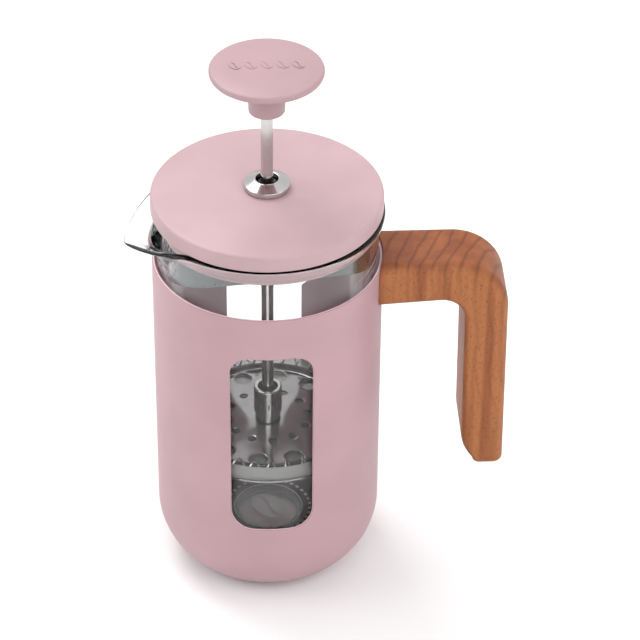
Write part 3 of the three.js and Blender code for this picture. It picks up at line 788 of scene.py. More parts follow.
class Workshop:
    """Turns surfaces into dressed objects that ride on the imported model's bodies."""

    def __init__(self, frame: dict[str, Any]) -> None:
        """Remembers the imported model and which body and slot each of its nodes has.

        Args:
            frame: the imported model, as loaded.
        """
        self.frame = frame
        self.materials: dict[str, bpy.types.Material] = {}
        record = frame["record"]
        bodies = record["behaviour"]["bodies"]
        self.body_of = {node: body for body, nodes in bodies.items() for node in nodes}
        self.slot_of = {part["node"]: part["material_slot"] for part in record["subparts"]}

    def size(self, node: str) -> tuple[Vector, Vector]:
        """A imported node's lowest and highest corner, in millimetres."""
        low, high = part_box(node)
        return low / MM, high / MM

    def dressed(self, finish: Finish) -> bpy.types.Material:
        """The finish's material, made once."""
        if finish.name not in self.materials:
            self.materials[finish.name] = finish.material()
        return self.materials[finish.name]

    def add(
        self,
        name: str,
        surface: Surface,
        node: str,
        finish: Finish,
        replaces: bool = True,
        sheet: bool = False,
        sharp: float = 40.0,
    ) -> bpy.types.Object:
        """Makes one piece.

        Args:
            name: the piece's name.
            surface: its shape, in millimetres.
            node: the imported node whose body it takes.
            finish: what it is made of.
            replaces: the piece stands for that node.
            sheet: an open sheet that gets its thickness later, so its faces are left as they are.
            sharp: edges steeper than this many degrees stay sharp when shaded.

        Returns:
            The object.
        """
        mesh = bpy.data.meshes.new(name)
        faces = [face for part in surface.faces for face in part.tolist()]
        mesh.from_pydata((surface.points * MM).tolist(), [], faces)
        if surface.coords is not None:
            corners = np.empty(len(mesh.loops), np.int64)
            mesh.loops.foreach_get("vertex_index", corners)
            layer = mesh.uv_layers.new(name="UVMap")
            layer.data.foreach_set("uv", surface.coords[corners].astype(np.float32).ravel())
        work = bmesh.new()
        work.from_mesh(mesh)
        bmesh.ops.remove_doubles(work, verts=work.verts, dist=2e-6)
        bmesh.ops.dissolve_degenerate(work, edges=work.edges, dist=1e-7)
        if not sheet:
            bmesh.ops.recalc_face_normals(work, faces=work.faces)
        work.to_mesh(mesh)
        work.free()
        mesh.shade_smooth()
        mesh.set_sharp_from_angle(angle=math.radians(sharp))
        piece = bpy.data.objects.new(name, mesh)
        bpy.context.scene.collection.objects.link(piece)
        mesh.materials.append(self.dressed(finish))
        if replaces:
            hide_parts(node)
        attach(piece, self.body_of[node])
        log.info("%s: %d faces, rides on %s", name, len(mesh.polygons), self.body_of[node])
        return piece

    @staticmethod
    def thicken(piece: bpy.types.Object, wall: float, edge: float) -> None:
        """Gives a sheet its wall on the inner side, and rounds the edges of its openings.

        Args:
            piece: the sheet.
            wall: its thickness in millimetres.
            edge: how far its sharp edges are rounded, in millimetres.
        """
        solid = piece.modifiers.new("wall", "SOLIDIFY")
        solid.thickness = wall * MM
        solid.offset = -1.0
        solid.use_even_offset = True
        bevel = piece.modifiers.new("edges", "BEVEL")
        bevel.width = edge * MM
        bevel.segments = 2
        bevel.limit_method = "ANGLE"
        bevel.angle_limit = math.radians(55)

    def redress(self, node: str, finish: Finish) -> None:
        """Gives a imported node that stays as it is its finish."""
        slots = self.frame["nodes"][node].data.materials
        slots.clear()
        slots.append(self.dressed(finish))
        log.info("%s: kept, dressed in %s", node, finish.name)


# ------------------------------------------------------------------ housing


@dataclass
class Housing:
    """Painted casing, its foot and inner platform, and the wooden handle."""

    shop: Workshop
    wall: float = 0.8
    corner_radius: float = 24.0
    corner_z: float = 22.2
    window_arc: float = 14.12
    window_low: float = 34.4
    window_high: float = 106.2
    window_corner: float = 7.5
    handle_corner: float = 18.0
    handle_inner: float = 8.0
    handle_edge: float = 3.4
    handle_inner_edge: float = 2.4
    handle_end: float = 1.8
    pocket_radius: float = 3.7
    pocket_start: float = 100.0
    pocket_end: float = 112.9
    toe_height: float = 11.0
    toe_depth: float = 4.0
    screw_places: tuple[float, ...] = (45.5, 54.0)
    radius: float = field(init=False)
    rim: float = field(init=False)

    def __post_init__(self) -> None:
        """Reads the casing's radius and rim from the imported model."""
        _, high = self.shop.size("casing")
        self.radius = high.y
        self.rim = high.z

    def casing_profile(self) -> np.ndarray:
        """Radius and height of the outer wall, from the axis under the floor up to the rim."""
        low, _ = self.shop.size("casing")
        _, pad = self.shop.size("foot_pad")
        centre = (self.radius - self.corner_radius, self.corner_z)
        start = -math.degrees(math.asin((self.corner_z - low.z) / self.corner_radius))
        recess = softened(
            [
                (0, pad.z + 0.3),
                (pad.x + 0.3, pad.z + 0.3),
                (pad.x + 0.6, low.z),
                tuple(arc(centre, self.corner_radius, start, start, 0)[0]),
            ],
            0.4,
        )
        bend = arc(centre, self.corner_radius, start, 0, 22)[1:]
        low_edge, high_edge = self.window_low, self.window_high
        heights = spaced(
            (self.corner_z + 1.5, low_edge - 1.5, 4),
            (low_edge - 1.5, low_edge + 9.5, 16),
            (low_edge + 9.5, high_edge - 9.5, 22),
            (high_edge - 9.5, high_edge + 1.5, 16),
            (high_edge + 1.5, self.rim, 8),
        )
        side = np.stack([np.full_like(heights, self.radius), heights], -1)
        return np.vstack([recess, bend, side])

    def casing(self) -> None:
        """The drawn cup with its two windows: a grid over angle and profile, pierced and thickened."""
        quarter = spaced((0, 9, 4), (9, 24, 22), (24, 90, 22))
        front = np.concatenate([-quarter[:0:-1], quarter])
        degrees = np.concatenate([front[:-1] - 90, front + 90])
        profile = self.casing_profile()
        turn, radius = np.meshgrid(np.radians(degrees), profile[:, 0])
        height = np.broadcast_to(profile[:, 1:], turn.shape)
        flat = np.stack([turn * self.radius, height], -1).reshape(-1, 2)
        middle = (self.window_low + self.window_high) / 2
        half_height = (self.window_high - self.window_low) / 2
        quarter_way = self.radius * TURN / 4
        windows = [
            RoundedOpening(place, middle, self.window_arc, half_height, self.window_corner)
            for place in (-quarter_way, quarter_way)
        ]
        quads = grid_faces(*turn.shape)
        on_wall = height.reshape(-1)[quads].min(1) > self.corner_z
        flat, cut = pierced(flat, quads[on_wall], windows)
        quads = np.vstack([quads[~on_wall], cut])
        angle = flat[:, 0] / self.radius
        points = np.stack([radius.ravel() * np.cos(angle), radius.ravel() * np.sin(angle), flat[:, 1]], -1)
        piece = self.shop.add("casing_shell", compact(points, quads), "casing", CASING_PAINT, sheet=True)
        self.shop.thicken(piece, self.wall, 0.26)

    def foot_pad(self) -> None:
        """Silicone foot with two shallow grooves in its underside."""
        _, high = self.shop.size("foot_pad")
        r, top, groove = high.x, high.z, 0.5
        corners = [(0, 0)]
        for start in (r - 8, r - 4):
            corners += [(start, 0), (start + 0.2, groove), (start + 1.4, groove), (start + 1.6, 0)]
        corners += [(r, 0), (r, top), (0, top)]
        self.shop.add("foot_pad_ribbed", revolved(softened(corners, 0.15), 128), "foot_pad", SILICONE)

    def base_support(self) -> None:
        """Platform under the beaker, on a round foot."""
        low, high = self.shop.size("base_support")
        under = high.z - 1.6
        corners = [
            (0, under),
            (17.5, under),
            (18, low.z),
            (20, low.z),
            (20.5, under),
            (high.x, under),
            (high.x, high.z),
            (high.x - 3, high.z),
            (high.x - 3.4, high.z - 0.4),
            (0, high.z - 0.4),
        ]
        self.shop.add("beaker_platform", revolved(softened(corners, 0.3), 128), "base_support", PINK_NYLON)

    def handle_stations(self) -> tuple[np.ndarray, np.ndarray]:
        """Outer and inner edge of the handle, in X and Z, station by station along it."""
        low, high = self.shop.size("wood_handle")
        flare = 0.6
        outer_x = high.x - flare
        inner_x = 65.0
        under = 108.4
        outer_centre = (outer_x - self.handle_corner, high.z - self.handle_corner)
        inner_centre = (inner_x - self.handle_inner, under - self.handle_inner)
        arm, corner, leg = 16, 26, 34
        start = self.radius
        end_z = low.z + self.handle_end
        outer = np.vstack(
            [
                np.linspace((start, high.z), (outer_centre[0], high.z), arm + 1)[:-1],
                arc(outer_centre, self.handle_corner, 90, 0, corner),
                np.linspace((outer_x, outer_centre[1]), (high.x, end_z), leg + 1)[1:],
            ]
        )
        inner = np.vstack(
            [
                np.linspace((start, under - 1.3), (inner_centre[0], under), arm + 1)[:-1],
                arc(inner_centre, self.handle_inner, 90, 0, corner),
                np.linspace((inner_x, inner_centre[1]), (inner_x + flare, end_z), leg + 1)[1:],
            ]
        )
        above_toe = np.clip((end_z + self.toe_height - inner[:, 1]) / self.toe_height, 0, 1)
        inner[:, 0] += self.toe_depth * above_toe**2.2
        return outer, inner

    @staticmethod
    def section(
        half_width: np.ndarray, half_depth: np.ndarray, edges: np.ndarray
    ) -> tuple[np.ndarray, np.ndarray]:
        """The handle's rounded rectangular section, from the middle of its +Y side and back.

        Each quarter is a short flat, a quarter circle of the edge radius and a long flat. The
        quarters are mirrored, so vertex i and vertex n - i lie at the same depth.

        Args:
            half_width: half the section's width at each station.
            half_depth: half its depth at each station.
            edges: the edge radius on the outer and on the inner side, at each station.

        Returns:
            Distance across and depth of each vertex, stations by vertices.
        """
        turn = np.radians(np.linspace(0, 90, 9))
        flat = np.array([0.0, 0.4, 0.8, 0.96])[None, :]
        w, d = half_width[:, None], half_depth[:, None]
        sides = []
        for edge in (edges[:, :1], edges[:, 1:]):
            wide, deep = np.broadcast_to(w, (len(w), 4)), np.broadcast_to(d, (len(d), 4))
            across = np.hstack([(w - edge) * flat, (w - edge) + edge * np.sin(turn), wide])
            depth = np.hstack([deep, (d - edge) + edge * np.cos(turn), (d - edge) * flat[:, ::-1]])
            half = (np.hstack([across[:, :-1], across[:, ::-1]]), np.hstack([depth[:, :-1], -depth[:, ::-1]]))
            sides.append(half)
        (outer_across, outer_depth), (inner_across, inner_depth) = sides
        across = np.hstack([outer_across, -inner_across[:, -2:0:-1]])
        return across, np.hstack([outer_depth, inner_depth[:, -2:0:-1]])

    def wood_handle(self) -> None:
        """The L-shaped handle: its section is carried along the stations and rounds off at its end."""
        outer, inner = self.handle_stations()
        _, high = self.shop.size("wood_handle")
        centre = (outer + inner) / 2
        reach = outer - inner
        width = np.linalg.norm(reach, axis=1)
        toe = np.radians(np.linspace(0, 90, 8)[1:])
        inset = self.handle_end * (1 - np.cos(toe))
        drop = self.handle_end * np.sin(toe)
        centre = np.vstack([centre, centre[-1] - np.stack([0 * drop, drop], -1)])
        last_way = np.broadcast_to(reach[-1] / width[-1], (len(toe), 2))
        across_way = np.vstack([reach / width[:, None], last_way])
        half_width = np.concatenate([width / 2, width[-1] / 2 - inset])
        half_depth = np.concatenate([np.full(len(width), high.y), high.y - inset])
        less = np.concatenate([0 * width, inset])[:, None]
        edges = np.array([[self.handle_edge, self.handle_inner_edge]]) - less
        across, depth = self.section(half_width, half_depth, np.maximum(edges, 0.3))
        x = centre[:, :1] + across * across_way[:, :1]
        z = centre[:, 1:] + across * across_way[:, 1:]
        saddle = np.sqrt((self.radius + 0.08) ** 2 - depth**2) - self.radius
        ease = np.clip(1 - np.arange(len(x)) / 16, 0, 1)[:, None]
        points = np.stack([x + saddle * ease, depth, z], -1).reshape(-1, 3)
        count = across.shape[1]
        half = count // 2
        i = np.arange(1, half - 1)
        ladder = np.stack([i, i + 1, count - i - 1, count - i], -1)
        tips = np.array([[0, 1, count - 1], [half - 1, half, half + 1]])
        end = np.arange(len(points) - count, len(points))[None]
        faces = [grid_faces(len(x), count, False, True), ladder, tips, end]
        piece = self.shop.add("beech_handle", Surface(points, faces), "wood_handle", BEECH, sharp=60)
        self.bore_for_screws(piece)

    def bore_for_screws(self, piece: bpy.types.Object) -> None:
        """Sinks the two screw pockets into the arm's underside.

        Args:
            piece: the wooden handle.
        """
        r, low, high = self.pocket_radius, self.pocket_start, self.pocket_end
        for x in self.screw_places:
            pocket = revolved(softened([(0, low), (r, low), (r, high), (0, high)], 0.2), 48).moved(x=x)
            mesh = bpy.data.meshes.new("pocket")
            mesh.from_pydata((pocket.points * MM).tolist(), [], [f for p in pocket.faces for f in p.tolist()])
            work = bmesh.new()
            work.from_mesh(mesh)
            bmesh.ops.remove_doubles(work, verts=work.verts, dist=2e-6)
            bmesh.ops.recalc_face_normals(work, faces=work.faces)
            work.to_mesh(mesh)
            work.free()
            cutter = bpy.data.objects.new("pocket", mesh)
            bpy.context.scene.collection.objects.link(cutter)
            cut = piece.modifiers.new("pocket", "BOOLEAN")
            cut.operation = "DIFFERENCE"
            cut.solver = "EXACT"
            cut.object = cutter
            with bpy.context.temp_override(object=piece, active_object=piece):
                bpy.ops.object.modifier_apply(modifier=cut.name)
            bpy.data.objects.remove(cutter)
        piece.data.set_sharp_from_angle(angle=math.radians(50))

    def build(self) -> None:
        """Makes every piece of the housing."""
        self.casing()
        self.foot_pad()
        self.base_support()
        self.wood_handle()
        self.shop.redress("handle_bracket", SATIN_STEEL)
        self.shop.redress("handle_screw_inner", POLISHED)
        self.shop.redress("handle_screw_outer", POLISHED)


# ------------------------------------------------------------------ beaker


@dataclass
class Beaker:
    """Glass beaker with its pouring spout, its etched mark and the pad that it turns on."""

    shop: Workshop
    radius: float = 36.6
    wall: float = 2.2
    floor: float = 2.0
    outer_corner: float = 7.0
    inner_corner: float = 5.0
    lip_radius: float = 38.5
    spout_direction: float = 191.0
    spout_reach: float = 10.2
    spout_half_angle: float = 33.0
    spout_start: float = 125.0
    spout_drop: float = 7.0
    base: float = field(init=False)
    rim: float = field(init=False)

    def __post_init__(self) -> None:
        """Reads the beaker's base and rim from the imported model."""
        low, high = self.shop.size("glass_beaker")
        self.base = low.z
        self.rim = high.z

    def profile(self) -> np.ndarray:
        """Radius and height of the wall, from the axis outside, over the lip and back inside."""
        inner = self.radius - self.wall
        floor = self.base + self.floor
        top = self.rim
        outside = arc(
            (self.radius - self.outer_corner, self.base + self.outer_corner), self.outer_corner, -90, 0, 14
        )
        inside = arc((inner - self.inner_corner, floor + self.inner_corner), self.inner_corner, 0, -90, 12)
        low_side = np.linspace(self.base + 9, self.spout_start, 14)
        high_side = np.linspace(self.spout_start + 0.8, top - 6.4, 12)
        lip = softened(
            [
                (self.radius, top - 5.6),
                (self.radius + 0.4, top - 4.2),
                (self.lip_radius, top - 2.4),
                (self.lip_radius, top - 0.2),
                (self.radius - 0.4, top),
                (inner + 0.3, top - 1.6),
                (inner, top - 5.6),
            ],
            [0, 0.9, 1.0, 1.1, 1.1, 1.2, 0],
            steps=5,
        )
        rise = np.concatenate([low_side, high_side])
        wall = np.stack([np.full_like(rise, self.radius), rise], -1)
        back = np.stack([np.full_like(rise, inner), rise[::-1]], -1)
        foot = np.array([[0, self.base], [self.radius - self.outer_corner - 8, self.base]])
        inner_foot = np.array([[inner - self.inner_corner - 8, floor], [0, floor]])
        return np.vstack([foot, outside, wall, lip, back, inside, inner_foot])

    def pulled(self, points: np.ndarray) -> np.ndarray:
        """The points of the turned wall with the spout pulled out of it.

        The pull is across * rise^1.6. Rise is the height above the spout's start over the whole,
        and across is (a + hypot(a, 0.15)) / 2 for a = 1 - angle/half, where angle is the distance
        from the spout's direction and half its half angle, which narrows downwards. The pull
        moves a point outwards and down, and thins the lip.

        Args:
            points: the turned wall's points.

        Returns:
            As many points, with those near the spout moved.
        """
        x, y, z = points.T
        rise = np.maximum(0, (z - self.spout_start) / (self.rim - self.spout_start))
        away = np.degrees(np.arctan2(y, x)) - self.spout_direction
        away = np.abs((away + 180) % 360 - 180)
        half = self.spout_half_angle * (0.6 + 0.4 * rise)
        inside = 1 - np.hypot(away, 2.0) / half
        across = (inside + np.hypot(inside, 0.15)) / 2
        pull = across * rise**1.6
        scale = 1 + self.spout_reach * pull / np.maximum(np.hypot(x, y), 1e-6)
        return np.stack([x * scale, y * scale, z - self.spout_drop * pull], -1)

    def glass(self) -> None:
        """The blown beaker."""
        turned = revolved(self.profile(), 240, start=self.spout_direction)
        surface = Surface(self.pulled(turned.points), turned.faces)
        self.shop.add("blown_beaker", surface, "glass_beaker", GLASS, sharp=80)

    def pad(self) -> None:
        """Silicone ring under the glass."""
        low, high = self.shop.size("beaker_pad")
        corners = [(10, low.z), (high.x, low.z), (high.x, high.z), (10, high.z)]
        ring = revolved(softened(corners, 0.4, closed=True), 128, closed=True)
        self.shop.add("beaker_cushion", ring, "beaker_pad", SILICONE)

    def mark(self) -> None:
        """Etched coffee bean in a ring of dashes, on the beaker's inner floor."""
        z = self.base + self.floor + 0.03
        dashes, ring_radius, deep = 36, 14.0, 1.0
        step = TURN / dashes
        parts = [self.patch(ring_radius, deep, TURN * i / dashes, 0.55 * step, z) for i in range(dashes)]
        parts.append(self.patch(11.6, 0.35, 0.0, TURN * 0.9999, z, 180))
        halves = [self.bean_half(side, z) for side in (-1, 1)]
        surface = parts[0]
        for part in [*parts[1:], *halves]:
            surface = surface.joined(part)
        self.shop.add("etched_mark", surface, "glass_beaker", FROSTING, replaces=False)

    @staticmethod
    def patch(radius: float, deep: float, start: float, sweep: float, z: float, steps: int = 6) -> Surface:
        """A thin raised piece of a ring: a grid over angle, closed all round.

        Args:
            radius: its inner radius.
            deep: how far it reaches outwards.
            start: the angle where it starts, in radians.
            sweep: the angle it covers.
            z: the height of its underside.
            steps: how many steps along it.

        Returns:
            The raised piece.
        """
        turn = start + np.linspace(0, sweep, steps + 1)
        top = z + RAISED
        rims = [(radius, z), (radius + deep, z), (radius + deep, top), (radius, top)]
        points = np.stack([around(r, turn, h) for r, h in rims])
        count = steps + 1
        ends = np.array([[0, count, 2 * count, 3 * count]])
        faces = [grid_faces(4, count, True, False), ends, (ends + steps)[:, ::-1]]
        return Surface(points.reshape(-1, 3), faces)

    @staticmethod
    def bean_half(side: int, z: float) -> Surface:
        """Half of a bean, between its curved seam and its oval edge, as a thin raised strip.

        For s from -1 to 1 along the bean, the edge is width * sqrt(1 - s^2) and the seam is a
        sine of s, both on the half's own side. The whole is turned by the bean's tilt.

        Args:
            side: 1 or -1, for either half.
            z: the height of its underside.

        Returns:
            The half, about the origin.
        """
        s = np.linspace(-0.97, 0.97, 25)
        length, width, seam = 7.2, 4.9, 0.9
        edge = side * width * np.sqrt(1 - s**2)
        middle = seam * np.sin(s * math.pi) + side * 0.55
        edge = np.where(side * (edge - middle) > 0.05, edge, middle + side * 0.05)
        top = z + RAISED
        rims = [(middle, z), (edge, z), (edge, top), (middle, top)]
        points = np.stack([np.stack([v, s * length, np.full_like(s, h)], -1) for v, h in rims])
        tilt = math.radians(35)
        turned = points.reshape(-1, 3) @ np.array(Matrix.Rotation(tilt, 3, "Z")).T
        count = len(s)
        ends = np.array([[0, count, 2 * count, 3 * count]])
        faces = [grid_faces(4, count, True, False), ends, (ends + count - 1)[:, ::-1]]
        return Surface(turned, faces)

    def build(self) -> None:
        """Makes the beaker, its mark and its pad."""
        self.glass()
        self.mark()
        self.pad()


# ------------------------------------------------------------------ lid


@dataclass
class Lid:
    """Painted cap, strainer liner, and the nut, locknut and bush that guide the rod."""

    shop: Workshop
    wall: float = 1.2
    dome: float = 1.6
    hole: float = 5.5
    skirt_radius: float = 33.9
    sheet: float = 0.7
    lobe_z: float = 120.4
    arch_z: float = 135.4
    strainer_direction: float = 187.0
    peg_step: float = 4.2
    neck_z: float = 134.0
    radius: float = field(init=False)
    top: float = field(init=False)
    low: float = field(init=False)

    def __post_init__(self) -> None:
        """Reads the cap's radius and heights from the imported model."""
        low, high = self.shop.size("lid_cap")
        self.radius = high.x
        self.top = high.z
        self.low = low.z

    def cap(self) -> None:
        """The domed cap: top height falls as the square of the radius, then a round edge."""
        edge_top = self.top - self.dome
        inside = self.radius - self.wall
        r = np.linspace(self.hole, self.radius - 2.6, 24)
        over = np.stack([r, self.top - self.dome * (r / self.radius) ** 2.2], -1)
        edge = softened(
            [
                tuple(over[-1]),
                (self.radius, edge_top),
                (self.radius, self.low),
                (inside, self.low),
                (inside, edge_top - self.wall),
                (inside - 6, edge_top - self.wall),
            ],
            [0, 2.4, 0.5, 0.3, 0.8, 0],
            steps=8,
        )[1:]
        r_in = np.linspace(inside - 7, self.hole, 12)
        under = np.stack([r_in, self.top - self.wall - self.dome * (r_in / self.radius) ** 2.2], -1)
        under[:, 1] = np.maximum(under[:, 1], edge_top - self.wall)
        profile = np.vstack([over, edge, under])
        self.shop.add("lid_cap_domed", revolved(profile, 192, closed=True), "lid_cap", LID_PAINT)

    def liner(self) -> None:
        """The skirt, its wavy edge and its perforated lobe, turned in at the top to the plate."""
        _, high = self.shop.size("lid_liner")
        bend = 1.6
        top = high.z
        degrees = spaced((-180, -32, 100), (-32, 32, 150), (32, 180, 100)) + self.strainer_direction
        turn = np.radians(degrees)
        from_lobe = np.sin(np.radians(degrees - self.strainer_direction))
        edge_z = self.lobe_z + (self.arch_z - self.lobe_z) * from_lobe**2
        share = spaced((0, 0.82, 34), (0.82, 1, 5))[:, None]
        straight_top = top - bend
        height = edge_z[None, :] + share * (straight_top - edge_z[None, :])
        flat_turn = np.broadcast_to(turn * self.skirt_radius, height.shape)
        flat = np.stack([flat_turn, height], -1).reshape(-1, 2)
        quads = grid_faces(*height.shape)
        flat, quads = pierced(flat, quads, self.perforations())
        angle = flat[:, 0] / self.skirt_radius
        skirt = around(self.skirt_radius, angle, flat[:, 1])
        over = np.vstack(
            [
                arc((self.skirt_radius - bend, straight_top), bend, 0, 90, 6),
                np.stack([np.linspace(self.skirt_radius - bend - 1, self.hole, 10), np.full(10, top)], -1),
            ]
        )
        plate = around(over[:, :1], turn, over[:, 1:]).reshape(-1, 3)
        quads = np.vstack([quads, grid_faces(len(over), len(turn)) + len(skirt)])
        surface = compact(np.vstack([skirt, plate]), quads)
        # Its steel is darkened: painted reflection of dark surroundings.
        piece = self.shop.add("strainer_liner", surface, "lid_liner", SHADED_SKIRT_STEEL, sheet=True)
        self.shop.thicken(piece, self.sheet, 0.12)

    def perforations(self) -> list[RoundHole]:
        """Staggered rows of round holes over the lobe, in arc length and height."""
        middle = math.radians(self.strainer_direction) * self.skirt_radius
        step = math.radians(self.peg_step) * self.skirt_radius
        holes = []
        for row in range(5):
            count = 12 - row % 2
            for i in range(count):
                x = middle + (i - (count - 1) / 2) * step
                holes.append(RoundHole(x, self.lobe_z + 3.4 + 2.15 * row, 0.72))
        return holes

    def flange(self) -> None:
        """Rolled ring of the liner that rests over the glass rim."""
        _, high = self.shop.size("lid_liner")
        inner, outer = self.skirt_radius + 0.06, high.y
        corners = [(inner, high.z - 0.7), (outer, high.z - 0.7), (outer, high.z), (inner, high.z)]
        ring = revolved(softened(corners, 0.2, closed=True), 160, closed=True)
        self.shop.add("liner_flange", ring, "lid_liner", SHADED_SKIRT_STEEL, replaces=False)

    def neck(self) -> None:
        """Pink band round the top of the strainer, inside the glass: a painted reflection of the cap's pink
        seen in the glass lip.
        """
        _, high = self.shop.size("lid_liner")
        inner, outer = self.skirt_radius + 0.04, self.skirt_radius + 0.28
        corners = [(inner, self.neck_z), (outer, self.neck_z), (outer, high.z - 0.8), (inner, high.z - 0.8)]
        ring = revolved(softened(corners, 0.08, closed=True), 160, closed=True)
        self.shop.add("neck_band_painted_reflection", ring, "lid_cap", LID_PAINT, replaces=False)

    def guide(self) -> None:
        """Guide nut, locknut and bush round the rod."""
        low, high = self.shop.size("guide_nut")
        bore, shank, head, seat = 3.7, 5.2, high.y, high.z - 3.3
        corners = [
            (bore, low.z),
            (shank, low.z),
            (shank, seat),
            (head, seat),
            (head, seat + 1.55),
            (head - 0.5, seat + 1.8),
            (4.25, high.z - 0.05),
            (bore, high.z - 0.15),
        ]
        cuts = [0.2, 0.3, 0.1, 0.22, 0.18, 0.3, 0.3, 0.2]
        nut = revolved(softened(corners, cuts, closed=True), 128, closed=True)
        self.shop.add("guide_nut_polished", nut, "guide_nut", POLISHED, sharp=30)
        low, high = self.shop.size("guide_locknut")
        nut = hexagonal(14.5, self.hole, low.z, high.z, 1.0)
        self.shop.add("guide_locknut_hex", nut, "guide_locknut", SATIN_STEEL)
        low, high = self.shop.size("guide_bush")
        corners = [(2.08, low.z), (5, low.z), (5, low.z + 1), (3.4, low.z + 1), (3.4, high.z), (2.08, high.z)]
        bush = revolved(softened(corners, 0.3, closed=True), 64, closed=True)
        self.shop.add("guide_bush_turned", bush, "guide_bush", NYLON)

    def build(self) -> None:
        """Makes every piece of the lid."""
        self.cap()
        self.liner()
        self.flange()
        self.neck()
        self.guide()


# ------------------------------------------------------------------ plunger


@dataclass
class Plunger:
    """Knob, rod and the filter stack."""

    shop: Workshop
    rod_radius: float = 2.0
    bore: float = 2.06
    spring_turns: int = 35
    bean_scale: float = 0.32
    bean_step: float = 5.0
    bean_sunk: float = 0.25
    bean_thick: float = 0.38
    spring_coil: float = 2.2
    spring_wire: float = 0.35
    plate_rise: float = 1.9
    plate_rise_radius: float = 13.0

    def knob(self) -> None:
        """Flat round knob on its stem, with a row of raised beans on top and a threaded sleeve inside."""
        low, high = self.shop.size("knob")
        r, top, bottom = high.y, high.z, low.z
        stem = 5.9
        under = softened(
            [
                (0, top - 5.9),
                (3.6, top - 5.9),
                (3.6, bottom),
                (stem, bottom),
                (stem + 0.3, top - 6.6),
                (stem + 2.6, top - 4.25),
                (r - 1.4, top - 3.7),
                (r, top - 2.9),
                (r, top - 1.0),
                (r - 3.2, top - 0.32),
            ],
            [0, 0.2, 0.3, 0.7, 1.8, 2.0, 1.6, 1.2, 1.2, 2.0],
            steps=6,
        )
        crown = np.linspace(r - 4.4, 0, 12)
        over = np.stack([crown, top - 0.26 * (crown / (r - 3.2)) ** 2], -1)
        disc = revolved(np.vstack([under[:-1], over]), 144)
        self.shop.add("knob_disc", disc, "knob", KNOB_PLASTIC, sharp=60)
        self.motif(top)
        low, high = self.shop.size("knob_insert")
        corners = [(2.06, low.z), (3.3, low.z), (3.3, high.z), (2.06, high.z)]
        insert = revolved(softened(corners, 0.25, closed=True), 64, closed=True)
        self.shop.add("knob_sleeve", insert, "knob_insert", BRASS)

    def motif(self, top: float) -> None:
        """Row of five raised coffee beans across the top of the knob.

        Args:
            top: the height of the knob's middle.
        """
        size, low, thick = self.bean_scale, top - self.bean_sunk, self.bean_thick
        surface = None
        for x in np.arange(-2, 3) * self.bean_step:
            for side in (-1, 1):
                half = Beaker.bean_half(side, 0.0)
                scaled = half.points * np.array([size, size, thick / RAISED])
                small = Surface(scaled, half.faces).moved(x=x, z=low)
                surface = small if surface is None else surface.joined(small)
        self.shop.add("knob_motif", surface, "knob", KNOB_PLASTIC, replaces=False)

    def rod(self) -> None:
        """Straight drawn rod with rounded ends."""
        low, high = self.shop.size("plunger_rod")
        corners = [(0, low.z), (self.rod_radius, low.z), (self.rod_radius, high.z), (0, high.z)]
        profile = softened(corners, [0, 0.5, 0.5, 0])
        self.shop.add("drawn_rod", revolved(profile, 64), "plunger_rod", ROD_STEEL)

    def hub(self) -> None:
        """Turned hub, its washer and the nut under the stack."""
        low, high = self.shop.size("filter_hub")
        r = high.y
        corners = [
            (self.bore, low.z),
            (r, low.z),
            (r, high.z),
            (3.4, high.z),
            (3.4, high.z - 5),
            (self.bore, high.z - 6.5),
        ]
        hub = revolved(softened(corners, [0.1, 0.25, 0.55, 0.2, 0.2, 0.2], closed=True), 96, closed=True)
        self.shop.add("turned_hub", hub, "filter_hub", POLISHED, sharp=30)
        low, high = self.shop.size("hub_washer")
        corners = [(self.bore, low.z), (high.y, low.z), (high.y, high.z), (self.bore, high.z)]
        washer = revolved(softened(corners, 0.2, closed=True), 96, closed=True)
        self.shop.add("hub_washer_turned", washer, "hub_washer", POLISHED)
        low, high = self.shop.size("filter_nut")
        nut = hexagonal(8.4, self.bore, low.z, high.z, 0.6)
        self.shop.add("filter_nut_hex", nut, "filter_nut", SATIN_STEEL)

    def disc(
        self,
        name: str,
        node: str,
        outline: np.ndarray,
        holes: Sequence[RoundHole],
        columns: int,
        finish: Finish,
    ) -> None:
        """A pressed disc: a polar grid pierced in plan, then lifted to its profile and thickened.

        Args:
            name: the piece's name.
            node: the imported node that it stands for.
            outline: radius and height of its upper face, from the bore outwards.
            holes: openings in plan.
            columns: steps round the axis.
            finish: what it is made of.
        """
        turn = np.linspace(0, TURN, columns + 1)
        radius = outline[::-1, :1]
        flat = np.stack([radius * np.cos(turn), radius * np.sin(turn)], -1).reshape(-1, 2)
        quads = grid_faces(len(outline), columns + 1)
        flat, quads = pierced(flat, quads, holes)
        height = np.interp(np.hypot(*flat.T), outline[:, 0], outline[:, 1])
        surface = compact(np.column_stack([flat, height]), quads)
        piece = self.shop.add(name, surface, node, finish, sheet=True)
        self.shop.thicken(piece, 0.7, 0.14)

    def spiral_plate(self) -> None:
        """Upper plate with holes, a raised rim and a domed middle: rise * exp(-(r / width)^2)."""
        low, high = self.shop.size("spiral_plate")
        rim = high.y
        lip = rim - np.array([0.8, 0.5, 0.3, 0.0])
        radius = np.concatenate([spaced((2.3, 10.5, 14), (10.5, rim - 1.1, 40)), lip])
        height = low.z + 0.7 + self.plate_rise * np.exp(-((radius / self.plate_rise_radius) ** 2))
        height[-4:] = [low.z + 0.85, low.z + 1.3, low.z + 2.0, low.z + 2.8]
        small = self.circle_of_holes(12, 13.8, 1.5, 5)
        large = self.circle_of_holes(12, 23.2, 3.2, 20)
        outline = np.stack([radius, height], -1)
        self.disc("pierced_plate", "spiral_plate", outline, small + large, 288, SHADED_SHEET_STEEL)

